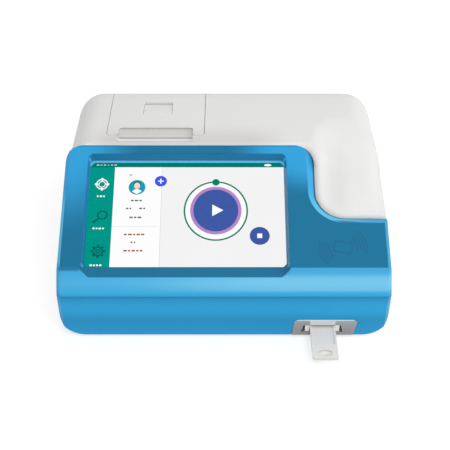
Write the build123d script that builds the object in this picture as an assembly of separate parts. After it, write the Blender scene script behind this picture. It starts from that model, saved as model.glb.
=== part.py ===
from build123d import *
import math
import os

# Immunofluorescence analyzer for the bench, in millimetres.
# Front faces -Y, +X is the viewer's right, +Z is up, the feet stand on Z = 0.
# Depths into the case are given from its nose, the foremost line of the front cover.

# Case
CASE_WIDTH = 261.0
CASE_DEPTH = 236.0
CASE_HEIGHT = 115.0
HALF = CASE_WIDTH / 2
FOOT_HEIGHT = 2.0
WALL = 2.5
SEAM = 0.3
SHOULDER_RADIUS = 22.0
REAR_TOP_RADIUS = 48.5
LOWER_CORNER_RADIUS = 20.0

# Front cover: chin, nose band and sloping face
CHIN_UNDERCUT = 4.1
NOSE_HEIGHT = CASE_HEIGHT - 70.0
BAND_RUN = 12.8
BAND_RISE = 17.9
BAND_BULGE = 0.7
FACE_ANGLE = 26.86
FACE_LENGTH = 112.0
COVER_FLANGE = 12.0
SIDE_BEVEL = 3.0
TOWER_EDGE_X = HALF - 57.0
TOWER_LEFT_RADIUS = 14.0
TOWER_RIGHT_RADIUS = 17.0
WING_TOP = 45.5
NOTCH_RADIUS = 23.5
NOTCH_BEVEL_WIDTH = 6.0
NOTCH_BEVEL_DEPTH = 4.0

# White shoulder beside the tower
SHOULDER_START = 55.4
SHOULDER_SLOPE = 21.0
SHOULDER_BLEND = 5.0
FALL_LEFT = TOWER_EDGE_X - 6.5
FALL_RIGHT = TOWER_EDGE_X + 26.5

# Screen
GLASS_DEPTH = 7.0
GLASS_LEFT = -HALF + 20.3
GLASS_RIGHT = TOWER_EDGE_X - 23.9
GLASS_LOW = 4.4
GLASS_HIGH = 99.8
GLASS_THICKNESS = 2.0
PICTURE_GAP = 0.2
GLASS_LAP = 3.0
PANEL_THICKNESS = 4.0
BRACKET_SHEET = 1.2
POCKET_SIDE = 1.6
POCKET_TOP = 4.6
POCKET_LOW = 16.0
POCKET_CORNER = 3.0
SHELF_CORNER = (5.5, 10.0)
DISPLAY_BOSSES = [(x, s) for x in (GLASS_LEFT - 11.3, GLASS_RIGHT + 11.9) for s in (16.0, 90.0)]

# Card tray and its entrance
TRAY_X = HALF - 52.0
TRAY_WIDTH = 20.0
TRAY_THICKNESS = 2.5
TRAY_TOP = 11.5
TRAY_REACH = 33.0
TRAY_TRAVEL = 38.0
BLADE_LENGTH = 99.0
CARRIAGE_LENGTH = 84.0
CARRIAGE_WIDTH = 33.0
ENTRY_TOP = 19.0
ENTRY_RECESS = 1.2
ENTRY_PLATE = 2.0
SLOT_LEFT = TRAY_X - 17.0
SLOT_RIGHT = TRAY_X + 16.5
SLOT_LOW = 5.6
SLOT_HIGH = 12.6
RUNNING_GAP = 0.3
GEAR_MODULE = 0.8
PINION_TEETH = 15
PINION_DEPTH = 146.0
GEAR_BACKLASH = 0.12
MOTOR_SIDE = 28.0
MOTOR_HEIGHT = 26.0
DECK_SHEET = 1.5
DECK_LEFT = TRAY_X - 28.5
DECK_RIGHT = TRAY_X + 32.5
DECK_FRONT = 17.0
DECK_REAR = PINION_DEPTH + 54.0
FLAG_LENGTH = 9.0

# Fluorescence reader over the tray
OPTIC_DEPTH = 92.0
OPTIC_HIGH = 52.0
OPTIC_BORE = 5.0
READER_BOSSES = [(HALF - 56.5, 23.0), (HALF - 14.5, 23.0)]

# Printer
RECESS_FRONT = FACE_LENGTH + 5.3
PAPER_SLIT = RECESS_FRONT + 10.0
SLIT_WIDTH = 1.6
RECESS_REAR = PAPER_SLIT + 11.9
RECESS_FLOOR = 4.0
RECESS_CORNER = 3.0
DOOR_LEFT = -HALF + 31.8
DOOR_RIGHT = DOOR_LEFT + 81.9
DOOR_FRONT = PAPER_SLIT - SLIT_WIDTH / 2
DOOR_GAP = 0.4
DOOR_CORNER = 4.0
HINGE_DEPTH = CASE_DEPTH - 26.5
HINGE_BARREL = 4.2
HINGE_PIN = 1.5
HINGE_CLEAR = 2.6
PIN_GAP = 0.05
RECESS_LEFT = DOOR_LEFT + 9.9
RECESS_RIGHT = DOOR_RIGHT - 9.5
LATCH_LEFT = DOOR_LEFT + 28.7
LATCH_RIGHT = LATCH_LEFT + 24.5
LATCH_FRONT = RECESS_REAR + 22.8
LATCH_REAR = LATCH_FRONT + 21.3
PLATEN_DEPTH = PAPER_SLIT + 4.0
PLATEN_HEIGHT = CASE_HEIGHT - 11.0
PLATEN_RADIUS = 4.5
PLATEN_SHAFT = 1.5
PRINT_MODULE = 0.5
PLATEN_TEETH = 16
IDLER_TEETH = 24
DRIVE_TEETH = 12
DRIVE_ANGLE = -60.0
ROLL_RADIUS = 19.0
ROLL_WIDTH = 57.0
ROLL_CORE = 6.5
CRADLE_RADIUS = 21.0
CRADLE_HEIGHT = CASE_HEIGHT - 27.0
BAY_LEFT = DOOR_LEFT - 5.3
BAY_RIGHT = DOOR_RIGHT + 5.3
BAY_FRONT = RECESS_FRONT + 1.6
BAY_REAR = HINGE_DEPTH + 4.5
BAY_FLOOR = CASE_HEIGHT - 51.0
ROLL_DEPTH = BAY_FRONT + 49.1
BAY_WALL = 1.5

# Base, boards, ports and feet
RIB_X = HALF - 19.1
RIB_THICKNESS = 1.4
RIB_TOP = 9.0
BOARD_THICKNESS = 1.6
BOARD_LEFT = -HALF + 25.5
BOARD_RIGHT = TRAY_X - 43.5
BOARD_FRONT = CASE_DEPTH - 111.0
BOARD_HEIGHT = 10.0
FOOT_RADIUS = 8.0
FOOT_X = HALF - 45.5
FOOT_FRONT = 32.0
FOOT_REAR = CASE_DEPTH - 32.0
SCREW_RADIUS = 1.5
SCREW_HEAD = 2.8
SWITCH_X = HALF - 34.5
SWITCH_HEIGHT = 24.0
SWITCH_WIDTH = 19.0
SWITCH_TALL = 13.0
SWITCH_RIM = 1.2
ROCKER_PROUD = 1.4
ROCKER_PIVOT = 2.5
RIBBON_THICKNESS = 0.5
INLET_X = BOARD_RIGHT - 17.0
INLET_RADIUS = 4.2
SPEAKER_X = -HALF + 35.5
SPEAKER_DEPTH = 62.0

# Places worked out from the sizes above
NOSE_Y = -(CASE_DEPTH + ROCKER_PROUD - TRAY_REACH) / 2
REAR_Y = NOSE_Y + CASE_DEPTH
SLOPE = math.radians(FACE_ANGLE)
FACE_Y = NOSE_Y + BAND_RUN
FACE_Z = NOSE_HEIGHT + BAND_RISE
FACE = Plane(origin=(0, FACE_Y, FACE_Z), x_dir=(1, 0, 0), z_dir=(0, -math.sin(SLOPE), math.cos(SLOPE)))
FLOOR_TOP = FOOT_HEIGHT + WALL
TRAY_LOW = TRAY_TOP - TRAY_THICKNESS
DECK_TOP = FLOOR_TOP + DECK_SHEET
BOARD_TOP = BOARD_HEIGHT + BOARD_THICKNESS
MOTOR_LOW = TRAY_TOP + 4.0
OPTIC_LOW = TRAY_TOP + 3.0
CARRIAGE_FRONT = BLADE_LENGTH - TRAY_REACH
CARRIAGE_EDGE = TRAY_X + CARRIAGE_WIDTH / 2
PITCH_LINE = CARRIAGE_EDGE + 1.25 * GEAR_MODULE
PINION_X = PITCH_LINE + PINION_TEETH * GEAR_MODULE / 2
PLATEN_GEAR_X = (RECESS_RIGHT + 4.5, RECESS_RIGHT + 7.5)
PORTS = {
    "usb_left": (BOARD_LEFT + 43.0, BOARD_LEFT + 57.6, BOARD_TOP, BOARD_TOP + 7.0),
    "usb_right": (BOARD_LEFT + 63.0, BOARD_LEFT + 77.6, BOARD_TOP, BOARD_TOP + 7.0),
    "lan": (BOARD_LEFT + 85.0, BOARD_LEFT + 101.0, BOARD_TOP, BOARD_TOP + 13.5),
    "serial": (BOARD_LEFT + 7.0, BOARD_LEFT + 38.0, BOARD_TOP, BOARD_TOP + 12.5),
}


def depth_y(depth):
    """Y of a point that lies this far behind the nose."""
    return NOSE_Y + depth


def block(x0, x1, y0, y1, z0, z1):
    return Pos((x0 + x1) / 2, (y0 + y1) / 2, (z0 + z1) / 2) * Box(x1 - x0, y1 - y0, z1 - z0)


def rod_x(radius, x0, x1, y, z):
    return Pos((x0 + x1) / 2, y, z) * Rot(0, 90, 0) * Cylinder(radius, x1 - x0)


def rod_y(radius, y0, y1, x, z):
    return Pos(x, (y0 + y1) / 2, z) * Rot(90, 0, 0) * Cylinder(radius, y1 - y0)


def rod_z(radius, z0, z1, x, y):
    return Pos(x, y, (z0 + z1) / 2) * Cylinder(radius, z1 - z0)


def face_block(x0, x1, s0, s1, n0, n1):
    """Block in the sloping face's own frame: across, up the slope, out of the face."""
    return FACE * Pos((x0 + x1) / 2, (s0 + s1) / 2, (n0 + n1) / 2) * Box(x1 - x0, s1 - s0, n1 - n0)


def side_prism(points, x0, x1):
    """Outline in Y and Z, drawn out from x0 to x1."""
    outline = make_face(Polyline(*points, close=True))
    return Pos(x0, 0, 0) * extrude(Plane.YZ * outline, x1 - x0)


# Front profile

def front_line(inset):
    """Chin foot, nose, foot and top of the sloping face, moved in by the inset."""
    corners = [(depth_y(CHIN_UNDERCUT), FOOT_HEIGHT), (NOSE_Y, NOSE_HEIGHT), (FACE_Y, FACE_Z),
               (FACE_Y + FACE_LENGTH * math.cos(SLOPE), FACE_Z + FACE_LENGTH * math.sin(SLOPE))]
    normals = []
    for (y0, z0), (y1, z1) in zip(corners, corners[1:]):
        run = math.hypot(y1 - y0, z1 - z0)
        normals.append(((z1 - z0) / run, (y0 - y1) / run))
    moved = []
    for place, (y, z) in enumerate(corners):
        before = normals[max(place - 1, 0)]
        after = normals[min(place, len(normals) - 1)]
        share = inset / (1 + before[0] * after[0] + before[1] * after[1])
        moved.append((y + share * (before[0] + after[0]), z + share * (before[1] + after[1])))
    return moved


def front_layer(outer, inner, side_inset, foot_inset):
    """Layer of the front, from one inset to a deeper one, across the case."""
    out_line = front_line(outer)
    in_line = front_line(inner)
    band_mid = ((out_line[1][0] + out_line[2][0]) / 2, (out_line[1][1] + out_line[2][1]) / 2)
    band = math.hypot(BAND_RUN, BAND_RISE)
    crown = (band_mid[0] - BAND_BULGE * BAND_RISE / band, band_mid[1] + BAND_BULGE * BAND_RUN / band)
    edges = [Line(out_line[0], out_line[1]), ThreePointArc(out_line[1], crown, out_line[2]),
             Line(out_line[2], out_line[3]), Polyline(out_line[3], *reversed(in_line), out_line[0])]
    outline = make_face(Wire([e for part in edges for e in part.edges()]))
    half = HALF - side_inset
    layer = Pos(-half, 0, 0) * extrude(Plane.YZ * outline, 2 * half)
    foot = FOOT_HEIGHT + foot_inset
    return layer & block(-HALF, HALF, NOSE_Y - 50, REAR_Y, foot, CASE_HEIGHT + 50)


def face_outline(inset, top_extra=0.0, spread=0.0):
    """Outline of the cover in the sloping face's frame, with the step down beside the tower."""
    left = -HALF + inset - spread
    right = HALF - inset + spread
    top = FACE_LENGTH - inset + top_extra
    edge = TOWER_EDGE_X - inset
    wing = WING_TOP - inset
    far = -80.0
    points = [(left, far), (left, top), (edge, top), (edge, wing), (right, wing), (right, far)]
    outline = make_face(Polyline(*points, close=True))

    def corner(x, s):
        return [v for v in outline.vertices() if abs(v.X - x) < 0.01 and abs(v.Y - s) < 0.01]

    outline = fillet(corner(left, top), max(TOWER_LEFT_RADIUS - inset, 1.0))
    outline = fillet(corner(edge, top), max(TOWER_RIGHT_RADIUS - inset, 1.0))
    return fillet(corner(edge, wing), NOTCH_RADIUS + inset)


def outline_prism(inset, low=-90.0, high=20.0, **extra):
    return FACE * Pos(0, 0, low) * extrude(face_outline(inset, **extra), high - low)


def elevation_prism(inset):
    """Front view of the case with its rounded lower corners, drawn out from front to rear."""
    view = Pos(0, FOOT_HEIGHT + inset + (CASE_HEIGHT + 60) / 2) * Rectangle(
        CASE_WIDTH - 2 * inset, CASE_HEIGHT + 60)
    view = fillet(view.vertices().group_by(Axis.Y)[0], LOWER_CORNER_RADIUS - inset)
    return Pos(0, REAR_Y + 50, 0) * extrude(Plane.XZ * view, CASE_DEPTH + 150)


def notch_bevel():
    """Wide bevel round the step beside the tower."""
    beyond = NOTCH_BEVEL_WIDTH + 2
    grow = 1.1
    rings = []
    for share in (0.0, grow):
        outline = face_outline(NOTCH_BEVEL_WIDTH * share, top_extra=beyond, spread=beyond)
        rings.append((Pos(0, 0, NOTCH_BEVEL_DEPTH * (share - 1)) * outline).faces()[0])
    rim = face_block(0, HALF + 20, 0, FACE_LENGTH + 20, -NOTCH_BEVEL_DEPTH, 0.2)
    return rim - FACE * loft(rings, ruled=True)


def cover_blank():
    layer = front_layer(0.0, COVER_FLANGE, 0.0, 0.0)
    front = [e for e in layer.edges()
             if abs(abs(e.center().X) - HALF) < 0.01 and on_front(e)]
    layer = chamfer(front, SIDE_BEVEL)
    return (layer & elevation_prism(0.0) & outline_prism(0.0)) - notch_bevel()


def on_front(edge):
    """True for an edge of the case side that lies on the front line."""
    line = front_line(0.0)
    middle = edge @ 0.5
    for (y0, z0), (y1, z1) in zip(line, line[1:]):
        run = math.hypot(y1 - y0, z1 - z0)
        off = abs((middle.Y - y0) * (z1 - z0) - (middle.Z - z0) * (y1 - y0)) / run
        along = ((middle.Y - y0) * (y1 - y0) + (middle.Z - z0) * (z1 - z0)) / run
        if off < BAND_BULGE + 0.1 and 0.1 < along < run - 0.1 and edge.length > run - 1:
            return True
    return False


def octagon(x0, x1, s0, s1, corner, foot):
    """Rectangle with its upper corners cut by one size and its lower corners by a width and a height."""
    return Polyline((x0 + foot[0], s0), (x1 - foot[0], s0), (x1, s0 + foot[1]), (x1, s1 - corner),
                    (x1 - corner, s1), (x0 + corner, s1), (x0, s1 - corner), (x0, s0 + foot[1]), close=True)


def screen_pocket():
    """Bevelled recess down to the glass, with its wide shelf at the foot."""
    grow = 1.2
    low_ring = octagon(GLASS_LEFT, GLASS_RIGHT, GLASS_LOW, GLASS_HIGH, POCKET_CORNER,
                       (POCKET_CORNER, POCKET_CORNER))
    high_ring = octagon(GLASS_LEFT - POCKET_SIDE * grow, GLASS_RIGHT + POCKET_SIDE * grow,
                        GLASS_LOW - POCKET_LOW * grow, GLASS_HIGH + POCKET_TOP * grow,
                        POCKET_CORNER, SHELF_CORNER)
    low_face = make_face(Pos(0, 0, -GLASS_DEPTH) * low_ring)
    high_face = make_face(Pos(0, 0, GLASS_DEPTH * (grow - 1)) * high_ring)
    return FACE * loft([low_face.faces()[0], high_face.faces()[0]], ruled=True)


def entry_outline(gap):
    """Cut-out for the card entrance, narrowed by the gap, in X and Z."""
    low = FOOT_HEIGHT - 2
    left = TRAY_X - 24.9 + gap
    right = TRAY_X + 28.3 - gap
    points = [(left, low), (left + 2.4, ENTRY_TOP - 2.0), (left + 5.2, ENTRY_TOP - gap),
              (right - 3.7, ENTRY_TOP - gap), (right, ENTRY_TOP - 3.0), (right - 3.4, low)]
    return make_face(Polyline(*points, close=True))


def boss(x, s, low, high, radius=3.2):
    return FACE * Pos(x, s, (low + high) / 2) * Cylinder(radius, high - low)


def build_front_cover():
    blank = cover_blank()
    cavity = front_layer(WALL, COVER_FLANGE + 5, WALL, WALL) & elevation_prism(WALL)
    shallow = cavity & outline_prism(NOTCH_BEVEL_WIDTH, low=-NOTCH_BEVEL_DEPTH - 2 * WALL)
    deep = cavity & outline_prism(WALL, high=-NOTCH_BEVEL_DEPTH - WALL)
    cover = blank - shallow - deep
    lap = GLASS_LAP + 3.0
    frame = face_block(GLASS_LEFT - lap, GLASS_RIGHT + lap, GLASS_LOW - 12, GLASS_HIGH + lap,
                       -GLASS_DEPTH - GLASS_THICKNESS - 0.5, 1)
    cover += frame & blank
    panel_front, panel_back = panel_levels()
    for x, s in DISPLAY_BOSSES:
        cover += boss(x, s, panel_back, -WALL / 2)
    for x, s in READER_BOSSES:
        cover += boss(x, s, -WALL - 2.0, -WALL / 2, 2.5)
    cover -= screen_pocket()
    seat = GLASS_LAP + 0.2
    cover -= face_block(GLASS_LEFT - seat, GLASS_RIGHT + seat, GLASS_LOW - seat, GLASS_HIGH + seat,
                        -GLASS_DEPTH - 30, -GLASS_DEPTH)
    entry = extrude(Plane.XZ * entry_outline(0.0), 60)
    cover -= Pos(0, NOSE_Y + COVER_FLANGE + 8, 0) * entry
    for x, s in DISPLAY_BOSSES:
        cover -= boss(x, s, panel_back - 1, -WALL - 1.5, 1.1)
    return cover


# White housing and base

def case_block(inset):
    """Whole case with its rounded rear and shoulders, moved in by the inset."""
    low = FOOT_HEIGHT - 30
    profile = make_face(Polyline((NOSE_Y - 60, low), (NOSE_Y - 60, CASE_HEIGHT - inset),
                                 (REAR_Y - inset, CASE_HEIGHT - inset), (REAR_Y - inset, low), close=True))
    rear_top = [v for v in profile.vertices() if abs(v.X - REAR_Y + inset) < 0.01 and v.Y > 0]
    profile = fillet(rear_top, REAR_TOP_RADIUS - inset)
    half = HALF - inset
    body = Pos(-half, 0, 0) * extrude(Plane.YZ * profile, 2 * half)
    rim = [e for e in body.edges() if abs(abs(e.center().X) - half) < 0.01
           and e.center().Z > low + 1 and e.center().Y > NOSE_Y - 50]
    body = fillet(rim, SHOULDER_RADIUS - inset)
    return body & elevation_prism(inset)


def face_side():
    """Everything in front of the sloping face, nose band and chin."""
    line = front_line(0.0)
    top = (CASE_HEIGHT + 30 - FACE_Z) / math.sin(SLOPE)
    over = (FACE_Y + top * math.cos(SLOPE), FACE_Z + top * math.sin(SLOPE))
    points = [(line[0][0], FOOT_HEIGHT - 40), line[0], line[1], line[2], over,
              (NOSE_Y - 100, over[1]), (NOSE_Y - 100, FOOT_HEIGHT - 40)]
    return side_prism(points, -HALF - 5, HALF + 5)


def soft_least(a, b, blend):
    """Smaller of two heights, with a soft change from one to the other."""
    return a - blend * math.log(1 + math.exp((a - b) / blend))


def soft_step(value, low, high):
    share = min(max((value - low) / (high - low), 0.0), 1.0)
    return share * share * (3 - 2 * share)


def shoulder_height(x, depth):
    """Height of the white surface right of the tower, which falls softly from the roof to the shoulder."""
    start_z = FACE_Z + WING_TOP * math.sin(SLOPE) - NOTCH_BEVEL_DEPTH * math.cos(SLOPE)
    ramp = start_z + (depth - SHOULDER_START) * math.tan(math.radians(SHOULDER_SLOPE))
    ramp = soft_least(ramp, CASE_HEIGHT + 3.0, SHOULDER_BLEND)
    beside = FACE_Z + (depth - BAND_RUN) * math.tan(SLOPE) - 2.5
    behind = soft_step(depth, FACE_LENGTH - 20, FACE_LENGTH)
    tower = beside * (1 - behind) + (CASE_HEIGHT + 1.2) * behind
    fall = 1 - soft_step(x, FALL_LEFT, FALL_RIGHT)
    return ramp + max(tower - ramp, 0.0) * fall


def shoulder_cut(grow):
    """Material left away above the white shoulder: one smooth surface, drawn up past the roof."""
    across = [FALL_LEFT + (FALL_RIGHT - FALL_LEFT) * k / 8 for k in range(9)]
    edge = [(19.0, 0.0), (12.5, 0.25), (8.5, 1.0), (4.5, 2.6), (2.0, 4.5), (0.0, 8.0), (-3.5, 15.0)]
    rows = []
    for depth in range(35, 180, 5):
        y = depth_y(depth)
        round_off = 0.35 + 0.65 * soft_step(depth, SHOULDER_START, SHOULDER_START + 45)
        row = [Vector(x, y, shoulder_height(x, depth) - grow * 1.1) for x in across]
        for off, drop in edge:
            height = shoulder_height(HALF - off, depth) - drop * round_off
            row.append(Vector(HALF - off, y, height - grow * 1.1))
        rows.append(row)
    surface = Face.make_surface_from_array_of_points(rows, tol=0.02)
    return Solid.extrude(surface, Vector(0, 0, 70))


def cover_room():
    """Space that the front cover takes, with the seam round it."""
    layer = front_layer(-20.0, COVER_FLANGE + SEAM, -1.0, -30.0)
    return layer & outline_prism(-SEAM)


def door_room(grow):
    """Opening of the printer door, wider by grow all round."""
    axis_y, axis_z = hinge_axis()
    bend = CASE_DEPTH - REAR_TOP_RADIUS
    crest = axis_y + HINGE_BARREL * (HINGE_DEPTH - bend) / REAR_TOP_RADIUS
    room = door_block(grow, axis_y)
    room += block(DOOR_LEFT - grow, DOOR_RIGHT + grow, axis_y - 1, crest + grow, axis_z, CASE_HEIGHT + 20)
    return room + rod_x(HINGE_BARREL + grow, DOOR_LEFT - grow, DOOR_RIGHT + grow, axis_y, axis_z)


def door_block(grow, rear):
    """Block of the door's outline with its rounded front corners, notched where the slit runs."""
    front = depth_y(DOOR_FRONT) - grow
    room = block(DOOR_LEFT - grow, DOOR_RIGHT + grow, front, rear, BAY_FLOOR, CASE_HEIGHT + 20)
    corners = [e for e in room.edges().filter_by(Axis.Z) if abs(e.center().Y - front) < 0.01]
    room = fillet(corners, DOOR_CORNER + grow)
    notch = block(RECESS_LEFT - 1.5, RECESS_RIGHT + 1.5, front - 1, depth_y(DOOR_FRONT), 0, CASE_HEIGHT + 30)
    return room - notch


def hinge_axis():
    """Y and Z of the printer door's hinge, one barrel radius under the skin."""
    bend = CASE_DEPTH - REAR_TOP_RADIUS
    lean = math.asin((HINGE_DEPTH - bend) / REAR_TOP_RADIUS)
    arm = REAR_TOP_RADIUS - HINGE_BARREL
    return depth_y(bend + arm * math.sin(lean)), CASE_HEIGHT - REAR_TOP_RADIUS + arm * math.cos(lean)


def paper_recess():
    """Rounded recess over the paper slit: a level ledge in front of it and a shallow floor behind it."""
    slit_y = depth_y(PAPER_SLIT)
    points = [(depth_y(RECESS_FRONT), CASE_HEIGHT + 5),
              (depth_y(RECESS_FRONT), CASE_HEIGHT - RECESS_FLOOR + 1),
              (slit_y, CASE_HEIGHT - RECESS_FLOOR + 1), (slit_y, CASE_HEIGHT - RECESS_FLOOR + 0.8),
              (depth_y(RECESS_REAR), CASE_HEIGHT - RECESS_FLOOR + 1.6),
              (depth_y(RECESS_REAR), CASE_HEIGHT + 5)]
    scoop = side_prism(points, RECESS_LEFT, RECESS_RIGHT)
    upright = [e for e in scoop.edges().filter_by(Axis.Z) if e.length > 2]
    return fillet(upright, RECESS_CORNER)


def rear_cuts():
    """Openings of the rear wall for the ports, the inlet, the switch and the air."""
    cuts = []
    for x0, x1, z0, z1 in PORTS.values():
        cuts.append(block(x0 - 0.3, x1 + 0.3, REAR_Y - 6, REAR_Y + 2, z0 - 0.3, z1 + 0.3))
    cuts.append(rod_y(INLET_RADIUS + 0.3, REAR_Y - 6, REAR_Y + 2, INLET_X, BOARD_TOP + INLET_RADIUS))
    cuts.append(block(SWITCH_X - SWITCH_WIDTH / 2, SWITCH_X + SWITCH_WIDTH / 2, REAR_Y - 6, REAR_Y + 2,
                      SWITCH_HEIGHT - SWITCH_TALL / 2, SWITCH_HEIGHT + SWITCH_TALL / 2))
    for row in range(5):
        for column in range(2):
            x = BOARD_RIGHT - 5 + column * 34
            z = 40 + row * 4
            cuts.append(block(x, x + 28, REAR_Y - 6, REAR_Y + 2, z, z + 1.8))
    return cuts


def build_top_housing():
    shell = case_block(0.0) - shoulder_cut(0.0) - face_side()
    shell -= case_block(WALL) - shoulder_cut(WALL)
    shell += corner_lid()
    shell -= cover_room()
    shell &= block(-HALF, HALF, NOSE_Y - 5, REAR_Y + 1, FLOOR_TOP + SEAM, CASE_HEIGHT + 1)
    ledge = block(RECESS_LEFT - 3, RECESS_RIGHT + 3, depth_y(RECESS_FRONT) - 0.6, depth_y(PAPER_SLIT),
                  CASE_HEIGHT - RECESS_FLOOR - 1.5, CASE_HEIGHT - WALL / 2)
    shell += ledge - cover_room()
    axis_y, axis_z = hinge_axis()
    for x0, x1 in hinge_ears():
        ear = block(x0, x1, axis_y - 5, axis_y + 5, axis_z - 5, CASE_HEIGHT)
        shell += ear & case_block(WALL / 2)
    shell -= door_room(DOOR_GAP)
    shell -= paper_recess()
    for x0, x1 in hinge_ears():
        shell -= rod_x(HINGE_PIN + 0.02, x0 - 1, x1 + 1, axis_y, axis_z)
    for cut in rear_cuts():
        shell -= cut
    for x, y in screw_posts():
        post = rod_z(3.5, FLOOR_TOP + SEAM, 32, x, y)
        web = block(min(x, math.copysign(HALF - WALL / 2, x)), max(x, math.copysign(HALF - WALL / 2, x)),
                    y - 1, y + 1, 24, 32)
        shell += post + web
        shell -= rod_z(SCREW_RADIUS - 0.3, FLOOR_TOP, 22, x, y)
    return shell


def corner_lid():
    """Sloping wall that closes the housing beside the tower's rounded top corner."""
    low = WING_TOP + NOTCH_RADIUS
    width = FALL_RIGHT - 45
    height = FACE_LENGTH + 28 - low
    lid = FACE * Pos(45 + width / 2, low + height / 2, 1 - (WALL + 1) / 2) * Box(width, height, WALL + 1)
    return (lid & case_block(0.0)) - shoulder_cut(0.0) - face_side()


def hinge_ears():
    return [(DOOR_LEFT - DOOR_GAP - 4, DOOR_LEFT - DOOR_GAP),
            (DOOR_RIGHT + DOOR_GAP, DOOR_RIGHT + DOOR_GAP + 4)]


def screw_posts():
    """X and Y of the four screws that hold the housing to the base."""
    return [(side * (HALF - 14), depth_y(depth)) for side in (-1, 1) for depth in (60.0, 205.0)]


def build_base_pan():
    pan = case_block(0.0) - face_side()
    pan &= block(-HALF, HALF, NOSE_Y, REAR_Y, FOOT_HEIGHT, 12.0)
    pan -= block(-HALF - 1, HALF + 1, NOSE_Y - 1, depth_y(CHIN_UNDERCUT + WALL + SEAM), 0, 20)
    pan &= block(-HALF, HALF, NOSE_Y, REAR_Y, FOOT_HEIGHT, FLOOR_TOP)
    pan -= cover_foot()
    for side in (-1, 1):
        inner = side * RIB_X
        outer = side * (RIB_X + RIB_THICKNESS)
        pan += block(min(inner, outer), max(inner, outer), depth_y(30), depth_y(CASE_DEPTH - 18),
                     FLOOR_TOP - 0.5, RIB_TOP)
    rear = REAR_Y - WALL - SEAM
    pan += block(BOARD_RIGHT + 5, RIB_X - 10, rear - RIB_THICKNESS, rear, FLOOR_TOP - 0.5, RIB_TOP)
    for x in (-FOOT_X, FOOT_X):
        for depth in (FOOT_FRONT, FOOT_REAR):
            pan -= rod_z(FOOT_RADIUS + 0.1, 0, FOOT_HEIGHT + 1, x, depth_y(depth))
    for x, y in screw_posts():
        pan -= rod_z(SCREW_RADIUS + 0.2, 0, 20, x, y)
        pan -= rod_z(SCREW_HEAD + 0.3, 0, FOOT_HEIGHT + 1.2, x, y)
    for x, y in board_posts():
        pan += rod_z(3.0, FLOOR_TOP - 0.5, BOARD_HEIGHT, x, y)
        pan -= rod_z(1.1, FLOOR_TOP, BOARD_HEIGHT + 1, x, y)
    for row in range(7):
        y = depth_y(60 + row * 6)
        pan -= block(-40, 20, y, y + 2, 0, 20)
    for ring in range(3):
        for step in range(6 * max(ring, 1) if ring else 1):
            turn = 2 * math.pi * step / (6 * max(ring, 1))
            pan -= rod_z(1.0, 0, 20, SPEAKER_X + 5 * ring * math.cos(turn),
                         depth_y(SPEAKER_DEPTH) + 5 * ring * math.sin(turn))
    return pan


def cover_foot():
    """Space of the cover's chin and side flanges at floor level."""
    flanks = front_layer(-5.0, COVER_FLANGE + SEAM, -1.0, -5.0)
    inside = front_layer(-6.0, COVER_FLANGE + 5, WALL + SEAM, -6.0) & elevation_prism(WALL + SEAM)
    inside &= block(-HALF, HALF, depth_y(CHIN_UNDERCUT + WALL + SEAM), REAR_Y, 0, 60)
    return flanks - inside


def board_posts():
    return [(x, depth_y(depth)) for x in (BOARD_LEFT + 5, BOARD_RIGHT - 5)
            for depth in (BOARD_FRONT + 5, CASE_DEPTH - 24)]


# Screen parts

def build_touch_glass():
    edge = GLASS_LAP
    plate = face_block(GLASS_LEFT - edge, GLASS_RIGHT + edge, GLASS_LOW - edge, GLASS_HIGH + edge,
                       -GLASS_DEPTH - GLASS_THICKNESS, -GLASS_DEPTH)
    upright = [e for e in plate.edges() if abs(e.length - GLASS_THICKNESS) < 0.01]
    return fillet(upright, 2.0)


def panel_levels():
    """Front and back of the lit panel, a thin air gap under the glass."""
    front = -GLASS_DEPTH - GLASS_THICKNESS - PICTURE_GAP
    return front, front - PANEL_THICKNESS


def build_lcd_panel():
    front, back = panel_levels()
    body = face_block(GLASS_LEFT - 1, GLASS_RIGHT + 1, GLASS_LOW - 1.5, GLASS_HIGH + 1.5, back, front)
    socket = face_block(BOARD_LEFT + 55, BOARD_LEFT + 83, 8, 13, back - 2.2, back)
    return body + socket


def build_display_bracket():
    front, back = panel_levels()
    plate = face_block(GLASS_LEFT - 2, GLASS_RIGHT + 2, GLASS_LOW - 2, GLASS_HIGH + 2,
                       back - BRACKET_SHEET, back)
    plate -= face_block(GLASS_LEFT + 20.2, GLASS_RIGHT - 19.6, 6, 84, back - 5, back + 1)
    for x, s in DISPLAY_BOSSES:
        inner = GLASS_LEFT if x < 0 else GLASS_RIGHT
        plate += face_block(min(x, inner) - 4 * (x < 0), max(x, inner) + 4 * (x > 0), s - 5, s + 5,
                            back - BRACKET_SHEET, back)
        plate -= boss(x, s, back - 5, back + 1, SCREW_RADIUS)
    return plate


def build_display_screws():
    front, back = panel_levels()
    seat = back - BRACKET_SHEET
    screws = []
    for x, s in DISPLAY_BOSSES:
        screws.append(boss(x, s, seat - 1.8, seat, SCREW_HEAD) + boss(x, s, seat, seat + 6.5, 1.05))
    return Compound(screws)


# Card tray, its gearing and the reader

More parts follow.
